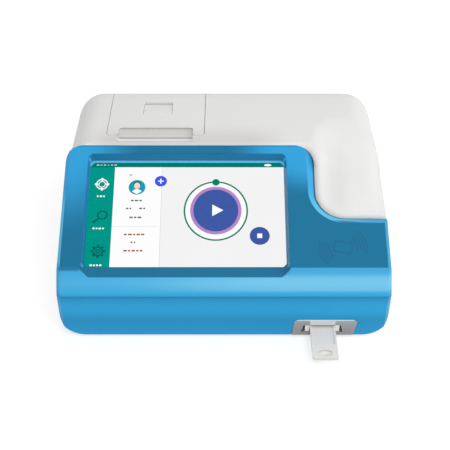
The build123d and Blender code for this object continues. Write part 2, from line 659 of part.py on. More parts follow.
def gear_outline(teeth, module, turn, backlash=GEAR_BACKLASH, pressure=20.0):
    """Spur gear outline with involute flanks; one tooth is centred at the turn, in degrees."""
    pitch = teeth * module / 2
    base = pitch * math.cos(math.radians(pressure))
    tip = pitch + module
    root = pitch - 1.25 * module
    half_tooth = math.pi / (2 * teeth) - backlash / (2 * pitch)
    involute = math.tan(math.radians(pressure)) - math.radians(pressure)

    def flank_angle(radius):
        if radius <= base:
            return half_tooth + involute
        bend = math.acos(base / radius)
        return half_tooth + involute - (math.tan(bend) - bend)

    steps = 4
    low = max(base, root)
    radii = [root] * (root < base) + [low + (tip - low) * k / steps for k in range(steps + 1)]
    points = []
    for tooth in range(teeth):
        centre = math.radians(turn) + 2 * math.pi * tooth / teeth
        points += [(r * math.cos(centre - flank_angle(r)), r * math.sin(centre - flank_angle(r)))
                   for r in radii]
        points += [(r * math.cos(centre + flank_angle(r)), r * math.sin(centre + flank_angle(r)))
                   for r in reversed(radii)]
    return make_face(Polyline(*points, close=True))


def rack_outline():
    """Rack teeth along the carriage, with a gap centred opposite the pinion."""
    pitch = math.pi * GEAR_MODULE
    slant = math.tan(math.radians(20.0))
    reach = TRAY_TRAVEL + 8.0
    rear = CARRIAGE_FRONT + CARRIAGE_LENGTH
    first = PINION_DEPTH + 0.5 * pitch
    points = [(CARRIAGE_EDGE - 1, depth_y(rear))]
    count = int((rear - 0.5 - first) // pitch)
    place = first + count * pitch
    while place > rear - reach:
        half_pitch_line = pitch / 4 - GEAR_BACKLASH / 2
        foot = half_pitch_line + 1.25 * GEAR_MODULE * slant
        tip = half_pitch_line - GEAR_MODULE * slant
        points += [(CARRIAGE_EDGE, depth_y(place + foot)), (PITCH_LINE + GEAR_MODULE, depth_y(place + tip)),
                   (PITCH_LINE + GEAR_MODULE, depth_y(place - tip)), (CARRIAGE_EDGE, depth_y(place - foot))]
        place -= pitch
    points.append((CARRIAGE_EDGE - 1, points[-1][1]))
    points[0] = (CARRIAGE_EDGE - 1, points[1][1])
    return make_face(Polyline(*points, close=True))


def build_card_tray():
    left = TRAY_X - TRAY_WIDTH / 2
    right = TRAY_X + TRAY_WIDTH / 2
    front = depth_y(-TRAY_REACH)
    carriage_y = depth_y(CARRIAGE_FRONT)
    rear = carriage_y + CARRIAGE_LENGTH
    blade = block(left, right, front, carriage_y + 2, TRAY_LOW, TRAY_TOP)
    blade = fillet(blade.edges().filter_by(Axis.Z).group_by(Axis.Y)[0], 1.2)
    tray = blade + block(TRAY_X - CARRIAGE_WIDTH / 2, CARRIAGE_EDGE, carriage_y, rear,
                         TRAY_LOW, TRAY_TOP + 1.0)
    tray += Pos(0, 0, TRAY_LOW) * extrude(rack_outline(), TRAY_THICKNESS + 1.0)
    tray += block(TRAY_X - 1, TRAY_X + 1, rear - 1, rear + FLAG_LENGTH, TRAY_LOW + 0.8, TRAY_TOP + 1.0)
    tray -= block(left + 1.6, right - 1.6, front + 16, rear - 14, TRAY_TOP - 1.0, TRAY_TOP + 3)
    tray -= block(TRAY_X - 4, TRAY_X + 4, depth_y(88), depth_y(104), 0, 20)
    dimple = Pos(TRAY_X, front + 5.4, TRAY_TOP + 8.7) * scale(Sphere(10.0), (1.15, 0.72, 1.0))
    return tray - dimple


def rail(side):
    """Channel that carries one edge of the tray, and the ledge under the carriage behind it."""
    inner = TRAY_X + side * (TRAY_WIDTH / 2)
    gap = side * RUNNING_GAP
    front = depth_y(CHIN_UNDERCUT + WALL + ENTRY_PLATE + 1.5)
    mid = depth_y(CARRIAGE_FRONT) - 3
    rear = depth_y(CARRIAGE_FRONT) + CARRIAGE_LENGTH + TRAY_TRAVEL + 4

    def bar(x0, x1, y0, y1, z0, z1):
        return block(min(x0, x1), max(x0, x1), y0, y1, z0, z1)

    web = bar(inner + gap, inner + gap + side * 4, front, mid, DECK_TOP, TRAY_TOP + 2.2)
    ledge = bar(inner - side * 2, inner + gap + side, front, rear, DECK_TOP, TRAY_LOW - RUNNING_GAP)
    lip = bar(inner - side * 1.2, inner + gap + side, front, mid, TRAY_TOP + RUNNING_GAP, TRAY_TOP + 2.2)
    nose_front = depth_y(CHIN_UNDERCUT / 2 + ENTRY_RECESS + 0.3)
    nose = bar(inner + gap, inner + gap + side * 3.4, nose_front, front, DECK_TOP, SLOT_HIGH - 0.3)
    return web + ledge + lip + nose


def build_entry_bezel():
    front = depth_y(CHIN_UNDERCUT / 2 + ENTRY_RECESS)
    plate = Pos(0, front + ENTRY_PLATE, 0) * extrude(Plane.XZ * entry_outline(0.25), ENTRY_PLATE)
    plate &= block(0, HALF, NOSE_Y, NOSE_Y + 20, FOOT_HEIGHT + 0.4, 40)
    slot = make_face(Polyline((SLOT_LEFT, SLOT_LOW), (SLOT_LEFT + 2, SLOT_HIGH), (SLOT_RIGHT - 2, SLOT_HIGH),
                              (SLOT_RIGHT, SLOT_LOW), close=True))
    plate -= Pos(0, front + 10, 0) * extrude(Plane.XZ * slot, 20)
    return plate


def build_reader_deck():
    deck = block(DECK_LEFT, DECK_RIGHT, depth_y(DECK_FRONT), depth_y(DECK_REAR), FLOOR_TOP, DECK_TOP)
    for x in (DECK_LEFT + 5, DECK_RIGHT - 5):
        for depth in (DECK_FRONT + 8, DECK_REAR - 8):
            deck -= rod_z(SCREW_RADIUS + 0.1, 0, 20, x, depth_y(depth))
    return deck


def build_deck_screws():
    screws = []
    for x in (DECK_LEFT + 5, DECK_RIGHT - 5):
        for depth in (DECK_FRONT + 8, DECK_REAR - 8):
            y = depth_y(depth)
            screws.append(rod_z(SCREW_HEAD, DECK_TOP, DECK_TOP + 1.6, x, y)
                          + rod_z(SCREW_RADIUS, DECK_TOP - DECK_SHEET, DECK_TOP, x, y))
    return Compound(screws)


def build_motor_bracket():
    y = depth_y(PINION_DEPTH)
    half = MOTOR_SIDE / 2
    plate = block(PINION_X - half, PINION_X + half, y - half, y + half, MOTOR_LOW - DECK_SHEET, MOTOR_LOW)
    leg = block(DECK_RIGHT - DECK_SHEET, DECK_RIGHT, y - half, y + half, DECK_TOP, MOTOR_LOW)
    plate -= rod_z(6.2, 0, 60, PINION_X, y)
    return plate + leg


def build_tray_motor():
    y = depth_y(PINION_DEPTH)
    body = Pos(PINION_X, y, MOTOR_LOW + MOTOR_HEIGHT / 2) * Box(MOTOR_SIDE, MOTOR_SIDE, MOTOR_HEIGHT)
    body = chamfer(body.edges().filter_by(Axis.Z), 3.0)
    body += rod_z(5.6, MOTOR_LOW - 1.2, MOTOR_LOW, PINION_X, y)
    return body - rod_z(2.0 + PIN_GAP, MOTOR_LOW - 3, MOTOR_LOW + 8, PINION_X, y)


def build_pinion_shaft():
    return rod_z(2.0, TRAY_LOW - 0.6, MOTOR_LOW + 7.5, PINION_X, depth_y(PINION_DEPTH))


def build_tray_pinion():
    y = depth_y(PINION_DEPTH)
    gear = extrude(gear_outline(PINION_TEETH, GEAR_MODULE, 180.0), TRAY_THICKNESS + 1.0)
    gear = Pos(PINION_X, y, TRAY_LOW) * gear
    return gear - rod_z(2.0, 0, 60, PINION_X, y)


def build_optics_bridge():
    y0 = depth_y(OPTIC_DEPTH - 16)
    y1 = depth_y(OPTIC_DEPTH + 16)
    left = TRAY_X - 23
    right = TRAY_X + 23
    top = block(left, right, y0, y1, OPTIC_LOW, OPTIC_LOW + DECK_SHEET)
    legs = block(left, left + DECK_SHEET, y0, y1, DECK_TOP, OPTIC_LOW) + block(
        right - DECK_SHEET, right, y0, y1, DECK_TOP, OPTIC_LOW)
    return top + legs - rod_z(OPTIC_BORE, 0, 60, TRAY_X, depth_y(OPTIC_DEPTH))


def build_optics_housing():
    y = depth_y(OPTIC_DEPTH)
    low = OPTIC_LOW + DECK_SHEET
    body = block(TRAY_X - 14, TRAY_X + 14, y - 13, y + 13, low, OPTIC_HIGH)
    body = fillet(body.edges().filter_by(Axis.Z), 2.0)
    body += block(TRAY_X - 26, TRAY_X - 13, y - 8, y + 8, 26, 44)
    body -= rod_z(OPTIC_BORE, 0, OPTIC_HIGH - 3, TRAY_X, y)
    body -= rod_x(4.0, TRAY_X - 30, TRAY_X, y, 35)
    return body - rod_z(2.5, 0, 60, TRAY_X, y)


def build_objective_lens():
    lens_z = OPTIC_LOW + 8
    return Pos(TRAY_X, depth_y(OPTIC_DEPTH), lens_z) * (Cylinder(OPTIC_BORE - 0.02, 3) + scale(
        Pos(0, 0, 1.5) * Sphere(4.6), (1, 1, 0.5)))


def build_light_source():
    y = depth_y(OPTIC_DEPTH)
    board = block(TRAY_X - 27.6, TRAY_X - 26, y - 8, y + 8, 26, 44)
    return board + rod_x(2.5, TRAY_X - 26, TRAY_X - 20, y, 35)


def build_detector_board():
    y = depth_y(OPTIC_DEPTH)
    board = block(TRAY_X - 13, TRAY_X + 13, y - 12, y + 12, OPTIC_HIGH, OPTIC_HIGH + BOARD_THICKNESS)
    top = OPTIC_HIGH + BOARD_THICKNESS
    board += block(TRAY_X - 7, TRAY_X + 1, y - 4, y + 4, top, top + 1.4)
    return board + block(TRAY_X + 4, TRAY_X + 9, y - 9, y + 9, top, top + 4)


def build_home_sensor():
    y = depth_y(DECK_REAR - 4)
    body = block(TRAY_X - 5, TRAY_X + 5, y - 3, y + 3, DECK_TOP, TRAY_TOP + 3)
    return body - block(TRAY_X - 1.5, TRAY_X + 1.5, y - 4, y + 4, DECK_TOP + 3, TRAY_TOP + 4)


def build_card_reader_board():
    x0, x1 = READER_BOSSES[0][0] - 4, READER_BOSSES[1][0] + 4
    low = -WALL - 2.0
    board = face_block(x0, x1, 8, 38, low - BOARD_THICKNESS, low)
    return board + face_block(x0 + 16, x1 - 16, 12, 26, low - BOARD_THICKNESS - 1.2, low - BOARD_THICKNESS)


# Printer

def build_printer_door():
    axis_y, axis_z = hinge_axis()
    skin_end = axis_y - HINGE_CLEAR
    skin = (case_block(0.0) & door_block(0.0, skin_end)) - case_block(WALL)
    barrel = rod_x(HINGE_BARREL, DOOR_LEFT, DOOR_RIGHT, axis_y, axis_z) & case_block(0.0)
    neck = block(DOOR_LEFT, DOOR_RIGHT, axis_y - HINGE_BARREL - 0.8, skin_end, axis_z, CASE_HEIGHT)
    neck &= case_block(0.0)
    door = skin + barrel + neck
    lip_y = depth_y(PAPER_SLIT + SLIT_WIDTH / 2)
    under = CASE_HEIGHT - RECESS_FLOOR - 1.7
    door += block(RECESS_LEFT - 1.5, RECESS_RIGHT + 1.5, lip_y, depth_y(RECESS_REAR) + 1.5,
                  under, CASE_HEIGHT - WALL / 2)
    door -= paper_recess()
    door -= block(RECESS_LEFT - 1.5, RECESS_RIGHT + 1.5, lip_y - 5, lip_y, BAY_FLOOR, CASE_HEIGHT + 2)
    for x0, x1 in platen_cheeks():
        door += block(x0, x1, depth_y(PLATEN_DEPTH) - 3.6, depth_y(PLATEN_DEPTH) + 6, PLATEN_HEIGHT - 4,
                      CASE_HEIGHT - WALL / 2)
        door -= rod_x(PLATEN_SHAFT + PIN_GAP, x0 - 1, x1 + 1, depth_y(PLATEN_DEPTH), PLATEN_HEIGHT)
    door -= block(LATCH_LEFT - 0.3, LATCH_RIGHT + 0.3, depth_y(LATCH_FRONT) - 0.2, depth_y(LATCH_REAR),
                  CASE_HEIGHT - 15, CASE_HEIGHT + 5)
    pin_y, pin_z = latch_axis()
    for x0, x1 in latch_ears():
        door += block(x0, x1, pin_y - 1.6, pin_y + 3, pin_z - 2, CASE_HEIGHT - 0.4)
    door -= rod_x(0.8 + 0.02, LATCH_LEFT - 4, LATCH_RIGHT + 4, pin_y, pin_z)
    return door - rod_x(HINGE_PIN + PIN_GAP, DOOR_LEFT - 5, DOOR_RIGHT + 5, axis_y, axis_z)


def platen_cheeks():
    left = RECESS_LEFT - 1.5
    right = RECESS_RIGHT + 1.5
    return [(left - 2, left), (right, right + 2)]


def latch_axis():
    return depth_y(LATCH_FRONT) + 1.6, CASE_HEIGHT - 1.5


def latch_ears():
    return [(LATCH_LEFT - 3, LATCH_LEFT - 0.3), (LATCH_RIGHT + 0.3, LATCH_RIGHT + 3)]


def build_door_latch():
    pin_y, pin_z = latch_axis()
    rear = depth_y(LATCH_REAR) - 1.6
    points = [(pin_y, CASE_HEIGHT), (pin_y + 3, CASE_HEIGHT), (rear, CASE_HEIGHT - 1.6),
              (rear, CASE_HEIGHT - 3.6), (pin_y + 2, CASE_HEIGHT - 3.0), (pin_y, CASE_HEIGHT - 3.0)]
    flap = side_prism(points, LATCH_LEFT, LATCH_RIGHT)
    flap += rod_x(1.5, LATCH_LEFT, LATCH_RIGHT, pin_y, pin_z)
    for x in (LATCH_LEFT + 2, LATCH_RIGHT - 4):
        flap += block(x, x + 2, pin_y + 2, pin_y + 5, CASE_HEIGHT - 6.5, CASE_HEIGHT - 2.5)
    return flap - rod_x(0.8 + PIN_GAP, LATCH_LEFT - 1, LATCH_RIGHT + 1, pin_y, pin_z)


def build_latch_pin():
    pin_y, pin_z = latch_axis()
    return rod_x(0.8, LATCH_LEFT - 2.8, LATCH_RIGHT + 2.8, pin_y, pin_z)


def build_door_hinge_pin():
    axis_y, axis_z = hinge_axis()
    return rod_x(HINGE_PIN, DOOR_LEFT - DOOR_GAP - 4, DOOR_RIGHT + DOOR_GAP + 4, axis_y, axis_z)


def build_platen_shaft():
    y = depth_y(PLATEN_DEPTH)
    return rod_x(PLATEN_SHAFT, RECESS_LEFT - 4.5, PLATEN_GEAR_X[1] + 0.6, y, PLATEN_HEIGHT)


def build_platen_roller():
    y = depth_y(PLATEN_DEPTH)
    sleeve = rod_x(PLATEN_RADIUS, RECESS_LEFT + 2, RECESS_RIGHT - 2, y, PLATEN_HEIGHT)
    return sleeve - rod_x(PLATEN_SHAFT, RECESS_LEFT, RECESS_RIGHT, y, PLATEN_HEIGHT)


def side_gear(teeth, turn, y, z, bore):
    """Gear of the printer's train, turning about X; the turn is measured in the Y-Z view."""
    x0, x1 = PLATEN_GEAR_X
    gear = Pos(x0, y, z) * extrude(Plane.YZ * gear_outline(teeth, PRINT_MODULE, turn, backlash=0.08), x1 - x0)
    return gear - rod_x(bore, x0 - 1, x1 + 1, y, z)


def idler_centre():
    span = PRINT_MODULE * (PLATEN_TEETH + IDLER_TEETH) / 2
    return depth_y(PLATEN_DEPTH), PLATEN_HEIGHT - span


def drive_centre():
    span = PRINT_MODULE * (DRIVE_TEETH + IDLER_TEETH) / 2
    y, z = idler_centre()
    turn = math.radians(DRIVE_ANGLE)
    return y + span * math.cos(turn), z + span * math.sin(turn)


def build_platen_gear():
    return side_gear(PLATEN_TEETH, 270.0, depth_y(PLATEN_DEPTH), PLATEN_HEIGHT, PLATEN_SHAFT)


def build_idler_gear():
    y, z = idler_centre()
    return side_gear(IDLER_TEETH, 90.0 + 180.0 / IDLER_TEETH, y, z, 1.5 + PIN_GAP)


def build_drive_gear():
    y, z = drive_centre()
    tooth = 360.0 / IDLER_TEETH
    toward = (DRIVE_ANGLE - 90.0 - tooth / 2) % tooth
    lag = toward * IDLER_TEETH / DRIVE_TEETH
    turn = DRIVE_ANGLE + 180.0 + 180.0 / DRIVE_TEETH + lag
    return side_gear(DRIVE_TEETH, turn, y, z, 1.0)


def side_plate_x():
    return PLATEN_GEAR_X[0] - 2.6, PLATEN_GEAR_X[0] - 1.0


def build_printer_side_plate():
    x0, x1 = side_plate_x()
    y, z = idler_centre()
    my, mz = drive_centre()
    plate = block(x0, x1, depth_y(BAY_FRONT + BAY_WALL) + 0.3, depth_y(PLATEN_DEPTH + 13.7),
                  BAY_FLOOR + BAY_WALL, PLATEN_HEIGHT - 5.5)
    plate += rod_x(1.5, x1 - 0.5, PLATEN_GEAR_X[1] + 0.8, y, z)
    return plate - rod_x(1.6, x0 - 1, x1 + 1, my, mz)


def build_printer_motor():
    x0, x1 = side_plate_x()
    my, mz = drive_centre()
    can = rod_x(9.0, x0 - 22, x0, my, mz)
    return can - rod_x(1.0 + PIN_GAP, x0 - 8, x0 + 1, my, mz)


def build_drive_shaft():
    x0, x1 = side_plate_x()
    my, mz = drive_centre()
    return rod_x(1.0, x0 - 7.5, PLATEN_GEAR_X[1] + 0.4, my, mz)


def build_print_head():
    y0 = depth_y(BAY_FRONT + BAY_WALL)
    y1 = depth_y(PLATEN_DEPTH) - PLATEN_RADIUS - 0.3
    head = block(RECESS_LEFT + 2, RECESS_RIGHT - 2, y0, y1, PLATEN_HEIGHT - 11, PLATEN_HEIGHT + 3)
    socket = block(RECESS_LEFT + 24.8, RECESS_LEFT + 38.8, y0 + 0.2, y1 + 3,
                   PLATEN_HEIGHT - 14, PLATEN_HEIGHT - 8)
    return head + socket


def build_tear_bar():
    """Toothed steel strip along the front edge of the slit."""
    y1 = depth_y(PAPER_SLIT - SLIT_WIDTH / 2) - 0.1
    ledge = CASE_HEIGHT - RECESS_FLOOR + 1
    x0 = RECESS_LEFT + 1.5
    x1 = RECESS_RIGHT - 1.5
    count = 34
    step = (x1 - x0) / count
    points = [(x0, ledge)]
    for tooth in range(count):
        points += [(x0 + tooth * step, ledge + 0.2), (x0 + (tooth + 0.5) * step, ledge + 0.6)]
    points += [(x1, ledge + 0.2), (x1, ledge)]
    strip = make_face(Polyline(*points, close=True))
    return Pos(0, y1, 0) * extrude(Plane.XZ * strip, 0.6)


def build_paper_bay():
    y0 = depth_y(BAY_FRONT)
    y1 = depth_y(BAY_REAR)
    outer = block(BAY_LEFT, BAY_RIGHT, y0, y1, BAY_FLOOR, CASE_HEIGHT) & case_block(WALL)
    hollow = block(BAY_LEFT + BAY_WALL, BAY_RIGHT - BAY_WALL, y0 + BAY_WALL, y1 - BAY_WALL,
                   BAY_FLOOR + BAY_WALL, CASE_HEIGHT + 5)
    bay = outer - hollow
    axis_y, axis_z = hinge_axis()
    bay -= block(BAY_LEFT - 1, BAY_RIGHT + 1, axis_y - 6, y1 - BAY_WALL, axis_z - 6, CASE_HEIGHT + 5)
    bay -= rod_x(HINGE_BARREL + 1.5, BAY_LEFT - 1, BAY_RIGHT + 1, axis_y, axis_z)
    bay -= block(RECESS_LEFT - 4, RECESS_RIGHT + 4, y0 - 1, y0 + BAY_WALL + 1,
                 CASE_HEIGHT - RECESS_FLOOR - 1.5, CASE_HEIGHT)
    roll_y = depth_y(ROLL_DEPTH)
    x0, x1 = roll_span()
    for rib in (x0 + 4, (x0 + x1) / 2 - 1, x1 - 6):
        web = block(rib, rib + 2, roll_y - CRADLE_RADIUS - 1, roll_y + CRADLE_RADIUS + 1,
                    BAY_FLOOR + BAY_WALL / 2, CRADLE_HEIGHT)
        bay += web - rod_x(CRADLE_RADIUS, rib - 1, rib + 3, roll_y, CRADLE_HEIGHT)
    for x in (x0 - 2.6, x1 + 0.6):
        bay += block(x, x + 2, roll_y - CRADLE_RADIUS, roll_y + CRADLE_RADIUS,
                     BAY_FLOOR + BAY_WALL / 2, CRADLE_HEIGHT + 8)
    return bay


def roll_span():
    middle = (RECESS_LEFT + RECESS_RIGHT) / 2
    return middle - ROLL_WIDTH / 2, middle + ROLL_WIDTH / 2


def build_paper_roll():
    x0, x1 = roll_span()
    y = depth_y(ROLL_DEPTH)
    z = CRADLE_HEIGHT - CRADLE_RADIUS + ROLL_RADIUS + RUNNING_GAP
    return rod_x(ROLL_RADIUS, x0, x1, y, z) - rod_x(ROLL_CORE, x0 - 1, x1 + 1, y, z)


# Boards and ports

def build_main_board():
    return block(BOARD_LEFT, BOARD_RIGHT, depth_y(BOARD_FRONT), REAR_Y - WALL - 2.5, BOARD_HEIGHT, BOARD_TOP)


def build_board_chips():
    y = depth_y(BOARD_FRONT)
    x = BOARD_LEFT
    chips = [block(x + 45, x + 61, y + 40, y + 56, BOARD_TOP, BOARD_TOP + 1.6),
             block(x + 69, x + 79, y + 42, y + 54, BOARD_TOP, BOARD_TOP + 1.2),
             block(x + 21, x + 33, y + 44, y + 58, BOARD_TOP, BOARD_TOP + 1.2),
             block(x + 110, x + 120, y + 45, y + 55, BOARD_TOP, BOARD_TOP + 4.0),
             block(x + 55, x + 83, y + 3, y + 8, BOARD_TOP, BOARD_TOP + 3.0),
             block(x + 123, x + 129, y + 20, y + 40, BOARD_TOP, BOARD_TOP + 6.0)]
    for k in range(3):
        chips.append(rod_z(3.2, BOARD_TOP, BOARD_TOP + 9, x + 99 + k * 9, y + 75))
    return Compound(chips)


def build_board_screws():
    return Compound([rod_z(SCREW_HEAD, BOARD_TOP, BOARD_TOP + 1.6, x, y) for x, y in board_posts()])


def port_shell(name, hollow_left, hollow_low, depth):
    x0, x1, z0, z1 = PORTS[name]
    shell = block(x0, x1, REAR_Y - 17, REAR_Y - 0.8, z0, z1)
    return shell - block(x0 + hollow_left, x1 - hollow_left, REAR_Y - depth, REAR_Y + 1,
                         z0 + hollow_low, z1 - hollow_low)


def build_usb_ports():
    ports = []
    for name in ("usb_left", "usb_right"):
        x0, x1, z0, z1 = PORTS[name]
        tongue = block(x0 + 2, x1 - 2, REAR_Y - 14, REAR_Y - 3, z1 - 1.9, z1 - 0.5)
        ports.append(port_shell(name, 0.6, 0.6, 12) + tongue)
    return Compound(ports)


def build_lan_port():
    return port_shell("lan", 2.0, 2.4, 13)


def build_serial_port():
    x0, x1, z0, z1 = PORTS["serial"]
    body = block(x0, x1, REAR_Y - 15, REAR_Y - 2.6, z0, z1)
    mid = (z0 + z1) / 2
    body += block(x0 + 6, x1 - 6, REAR_Y - 3, REAR_Y - 0.6, mid - 4, mid + 4)
    for x in (x0 + 3, x1 - 3):
        body += rod_y(2.2, REAR_Y - 3, REAR_Y - 0.4, x, mid)
    return body


def build_dc_inlet():
    z = BOARD_TOP + INLET_RADIUS
    body = block(INLET_X - 4.8, INLET_X + 4.8, REAR_Y - 17, REAR_Y - WALL - 0.4, BOARD_TOP, z + 5)
    body += rod_y(INLET_RADIUS, REAR_Y - 5, REAR_Y - 0.6, INLET_X, z)
    body -= rod_y(3.0, REAR_Y - 12, REAR_Y + 1, INLET_X, z)
    return body + rod_y(1.0, REAR_Y - 13, REAR_Y - 3, INLET_X, z)


def switch_block(side, front, rear):
    """Block centred on the switch, a margin narrower than the panel hole on each side."""
    half_w = SWITCH_WIDTH / 2 - side
    half_t = SWITCH_TALL / 2 - side
    return block(SWITCH_X - half_w, SWITCH_X + half_w, REAR_Y + front, REAR_Y + rear,
                 SWITCH_HEIGHT - half_t, SWITCH_HEIGHT + half_t)


def build_switch_body():
    body = switch_block(0.1, -16, 0) + switch_block(-SWITCH_RIM, 0, SWITCH_RIM)
    body -= switch_block(1.4, -9, 3)
    y = REAR_Y - ROCKER_PIVOT
    reach = SWITCH_TALL / 2 - 0.8
    return body - rod_z(0.8 + PIN_GAP, SWITCH_HEIGHT - reach, SWITCH_HEIGHT + reach, SWITCH_X, y)


def build_power_rocker():
    """Rocker pressed in on its inner side and standing proud on its outer side."""
    half_t = SWITCH_TALL / 2 - 1.9
    outline = make_face(Polyline((SWITCH_X - 7.7, REAR_Y - 1.2), (SWITCH_X - 0.4, REAR_Y - 0.4),
                                 (SWITCH_X + 6.8, REAR_Y + ROCKER_PROUD), (SWITCH_X + 6.2, REAR_Y - 3.0),
                                 (SWITCH_X, REAR_Y - 4.6), (SWITCH_X - 6.6, REAR_Y - 4.4), close=True))
    rocker = Pos(0, 0, SWITCH_HEIGHT - half_t) * extrude(outline, 2 * half_t)
    reach = SWITCH_TALL / 2 - 0.9
    return rocker + rod_z(0.8, SWITCH_HEIGHT - reach, SWITCH_HEIGHT + reach, SWITCH_X, REAR_Y - ROCKER_PIVOT)


def build_rubber_feet():
    feet = []
    for x in (-FOOT_X, FOOT_X):
        for depth in (FOOT_FRONT, FOOT_REAR):
            foot = rod_z(FOOT_RADIUS, 0, FOOT_HEIGHT + 1, x, depth_y(depth))
            foot = chamfer(foot.edges().group_by(Axis.Z)[0], 0.6)
            feet.append(foot)
    return Compound(feet)


def build_base_screws():
    screws = []
    for x, y in screw_posts():
        screws.append(rod_z(SCREW_HEAD, FOOT_HEIGHT + 0.1, FOOT_HEIGHT + 1.2, x, y)
                      + rod_z(SCREW_RADIUS - 0.35, FOOT_HEIGHT + 1.0, 18, x, y))
    return Compound(screws)


def build_speaker():
    y = depth_y(SPEAKER_DEPTH)
    magnet = rod_z(9, FLOOR_TOP + 3, FLOOR_TOP + 7, SPEAKER_X, y)
    return rod_z(16, FLOOR_TOP, FLOOR_TOP + 3, SPEAKER_X, y) + magnet


def flat_cable(points, radius, x0, x1):
    """Ribbon cable that runs in a Y-Z plane, bent round with one radius at each corner."""
    path = FilletPolyline(*points, radius=radius)
    return Pos(x0, 0, 0) * extrude(Plane.YZ * trace(path, RIBBON_THICKNESS), x1 - x0)


def build_display_cable():
    front, back = panel_levels()
    start = FACE * Pos(0, 10.5, back - 2.2)
    y = start.position.Y
    z = start.position.Z
    end_y = depth_y(BOARD_FRONT) + 5.5
    points = [(y, z - 0.3), (y + 6, z - 12), (end_y - 12, BOARD_TOP + 16), (end_y, BOARD_TOP + 3.4)]
    return flat_cable(points, 5.0, BOARD_LEFT + 59, BOARD_LEFT + 79)


# Every piece by its node name
NODES = {
    "front_cover": build_front_cover,
    "top_housing": build_top_housing,
    "base_pan": build_base_pan,
    "rubber_feet": build_rubber_feet,
    "base_screws": build_base_screws,
    "touch_glass": build_touch_glass,
    "lcd_panel": build_lcd_panel,
    "display_bracket": build_display_bracket,
    "display_screws": build_display_screws,
    "entry_bezel": build_entry_bezel,
    "card_tray": build_card_tray,
    "tray_rail_left": lambda: rail(-1),
    "tray_rail_right": lambda: rail(1),
    "reader_deck": build_reader_deck,
    "deck_screws": build_deck_screws,
    "motor_bracket": build_motor_bracket,
    "tray_motor": build_tray_motor,
    "pinion_shaft": build_pinion_shaft,
    "tray_pinion": build_tray_pinion,
    "optics_bridge": build_optics_bridge,
    "optics_housing": build_optics_housing,
    "objective_lens": build_objective_lens,
    "light_source": build_light_source,
    "detector_board": build_detector_board,
    "home_sensor": build_home_sensor,
    "card_reader_board": build_card_reader_board,
    "printer_door": build_printer_door,
    "door_hinge_pin": build_door_hinge_pin,
    "door_latch": build_door_latch,
    "latch_pin": build_latch_pin,
    "platen_shaft": build_platen_shaft,
    "platen_roller": build_platen_roller,
    "platen_gear": build_platen_gear,
    "idler_gear": build_idler_gear,
    "drive_gear": build_drive_gear,
    "drive_shaft": build_drive_shaft,
    "printer_side_plate": build_printer_side_plate,
    "printer_motor": build_printer_motor,
    "print_head": build_print_head,
    "tear_bar": build_tear_bar,
    "paper_bay": build_paper_bay,
    "paper_roll": build_paper_roll,
    "main_board": build_main_board,
    "board_chips": build_board_chips,
    "board_screws": build_board_screws,
    "usb_ports": build_usb_ports,
    "lan_port": build_lan_port,
    "serial_port": build_serial_port,
    "dc_inlet": build_dc_inlet,
    "switch_body": build_switch_body,
    "power_rocker": build_power_rocker,
    "speaker": build_speaker,
    "display_cable": build_display_cable,
}

os.makedirs("parts", exist_ok=True)
for name, build in NODES.items():
    export_step(build(), f"parts/{name}.step")
    print(name)
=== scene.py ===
# %% [markdown]
# # Dressing a bench analyzer
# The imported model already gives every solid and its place, in metres. This lesson gives each surface
# its finish, adds the details that are too fine for the solids, and sets up the light and the camera.

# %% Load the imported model
import math
import bmesh
import bpy
from mathutils import Matrix, Vector


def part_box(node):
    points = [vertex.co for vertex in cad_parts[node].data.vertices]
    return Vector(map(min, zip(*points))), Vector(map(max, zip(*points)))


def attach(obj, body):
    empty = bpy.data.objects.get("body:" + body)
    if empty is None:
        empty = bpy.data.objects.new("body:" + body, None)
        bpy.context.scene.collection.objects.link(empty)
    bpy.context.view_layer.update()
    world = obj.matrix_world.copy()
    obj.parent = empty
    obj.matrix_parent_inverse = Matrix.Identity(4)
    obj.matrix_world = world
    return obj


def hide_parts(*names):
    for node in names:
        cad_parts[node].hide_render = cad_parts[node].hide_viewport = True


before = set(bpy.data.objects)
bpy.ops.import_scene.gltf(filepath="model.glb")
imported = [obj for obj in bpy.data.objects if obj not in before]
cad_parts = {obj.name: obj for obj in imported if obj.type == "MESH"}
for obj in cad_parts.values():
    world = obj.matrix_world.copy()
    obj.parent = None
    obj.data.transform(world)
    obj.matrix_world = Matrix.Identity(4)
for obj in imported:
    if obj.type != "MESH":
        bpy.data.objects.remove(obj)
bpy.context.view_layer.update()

# %% [markdown]
# ## A ruler for the sloping face
# Most of what the eye sees lies on a face that slopes by about 27 degrees. A point there is easiest to
# give across the face, up the slope and out of the face. One small function turns that into room
# coordinates, so no piece has to be turned by hand.

# %% Face ruler
MM = 0.001
FACE_Y = -89.4
FACE_Z = 62.9
SLOPE = math.radians(26.86)
FACE_LENGTH = 112.0


def face_point(x, s, n):
    """Point from millimetres across, up the slope and out of the face."""
    y = FACE_Y + s * math.cos(SLOPE) - n * math.sin(SLOPE)
    z = FACE_Z + s * math.sin(SLOPE) + n * math.cos(SLOPE)
    return Vector((x, y, z)) * MM


def room_point(x, y, z):
    """Point from millimetres in the room."""
    return Vector((x, y, z)) * MM


print("top of the face", face_point(0, FACE_LENGTH, 0))

# %% [markdown]
# ## Camera
# The picture was taken from the front and from 36 degrees above, with a long lens, so the sides
# converge only a little. The lens and the distance come from the converging edges of the case.

# %% Camera
lens = bpy.data.cameras.new("photo_camera")
lens.lens = 77.5
lens.sensor_width = 36.0
lens.clip_start = 0.01
camera = bpy.data.objects.new("photo_camera", lens)
bpy.context.scene.collection.objects.link(camera)
camera.location = (0.00075, -0.6773, 0.5317)
camera.rotation_euler = (math.radians(54.0), 0.0, 0.0)
bpy.context.scene.camera = camera
view = bpy.context.scene.view_settings
view.view_transform = "Standard"
print("camera", tuple(camera.location))

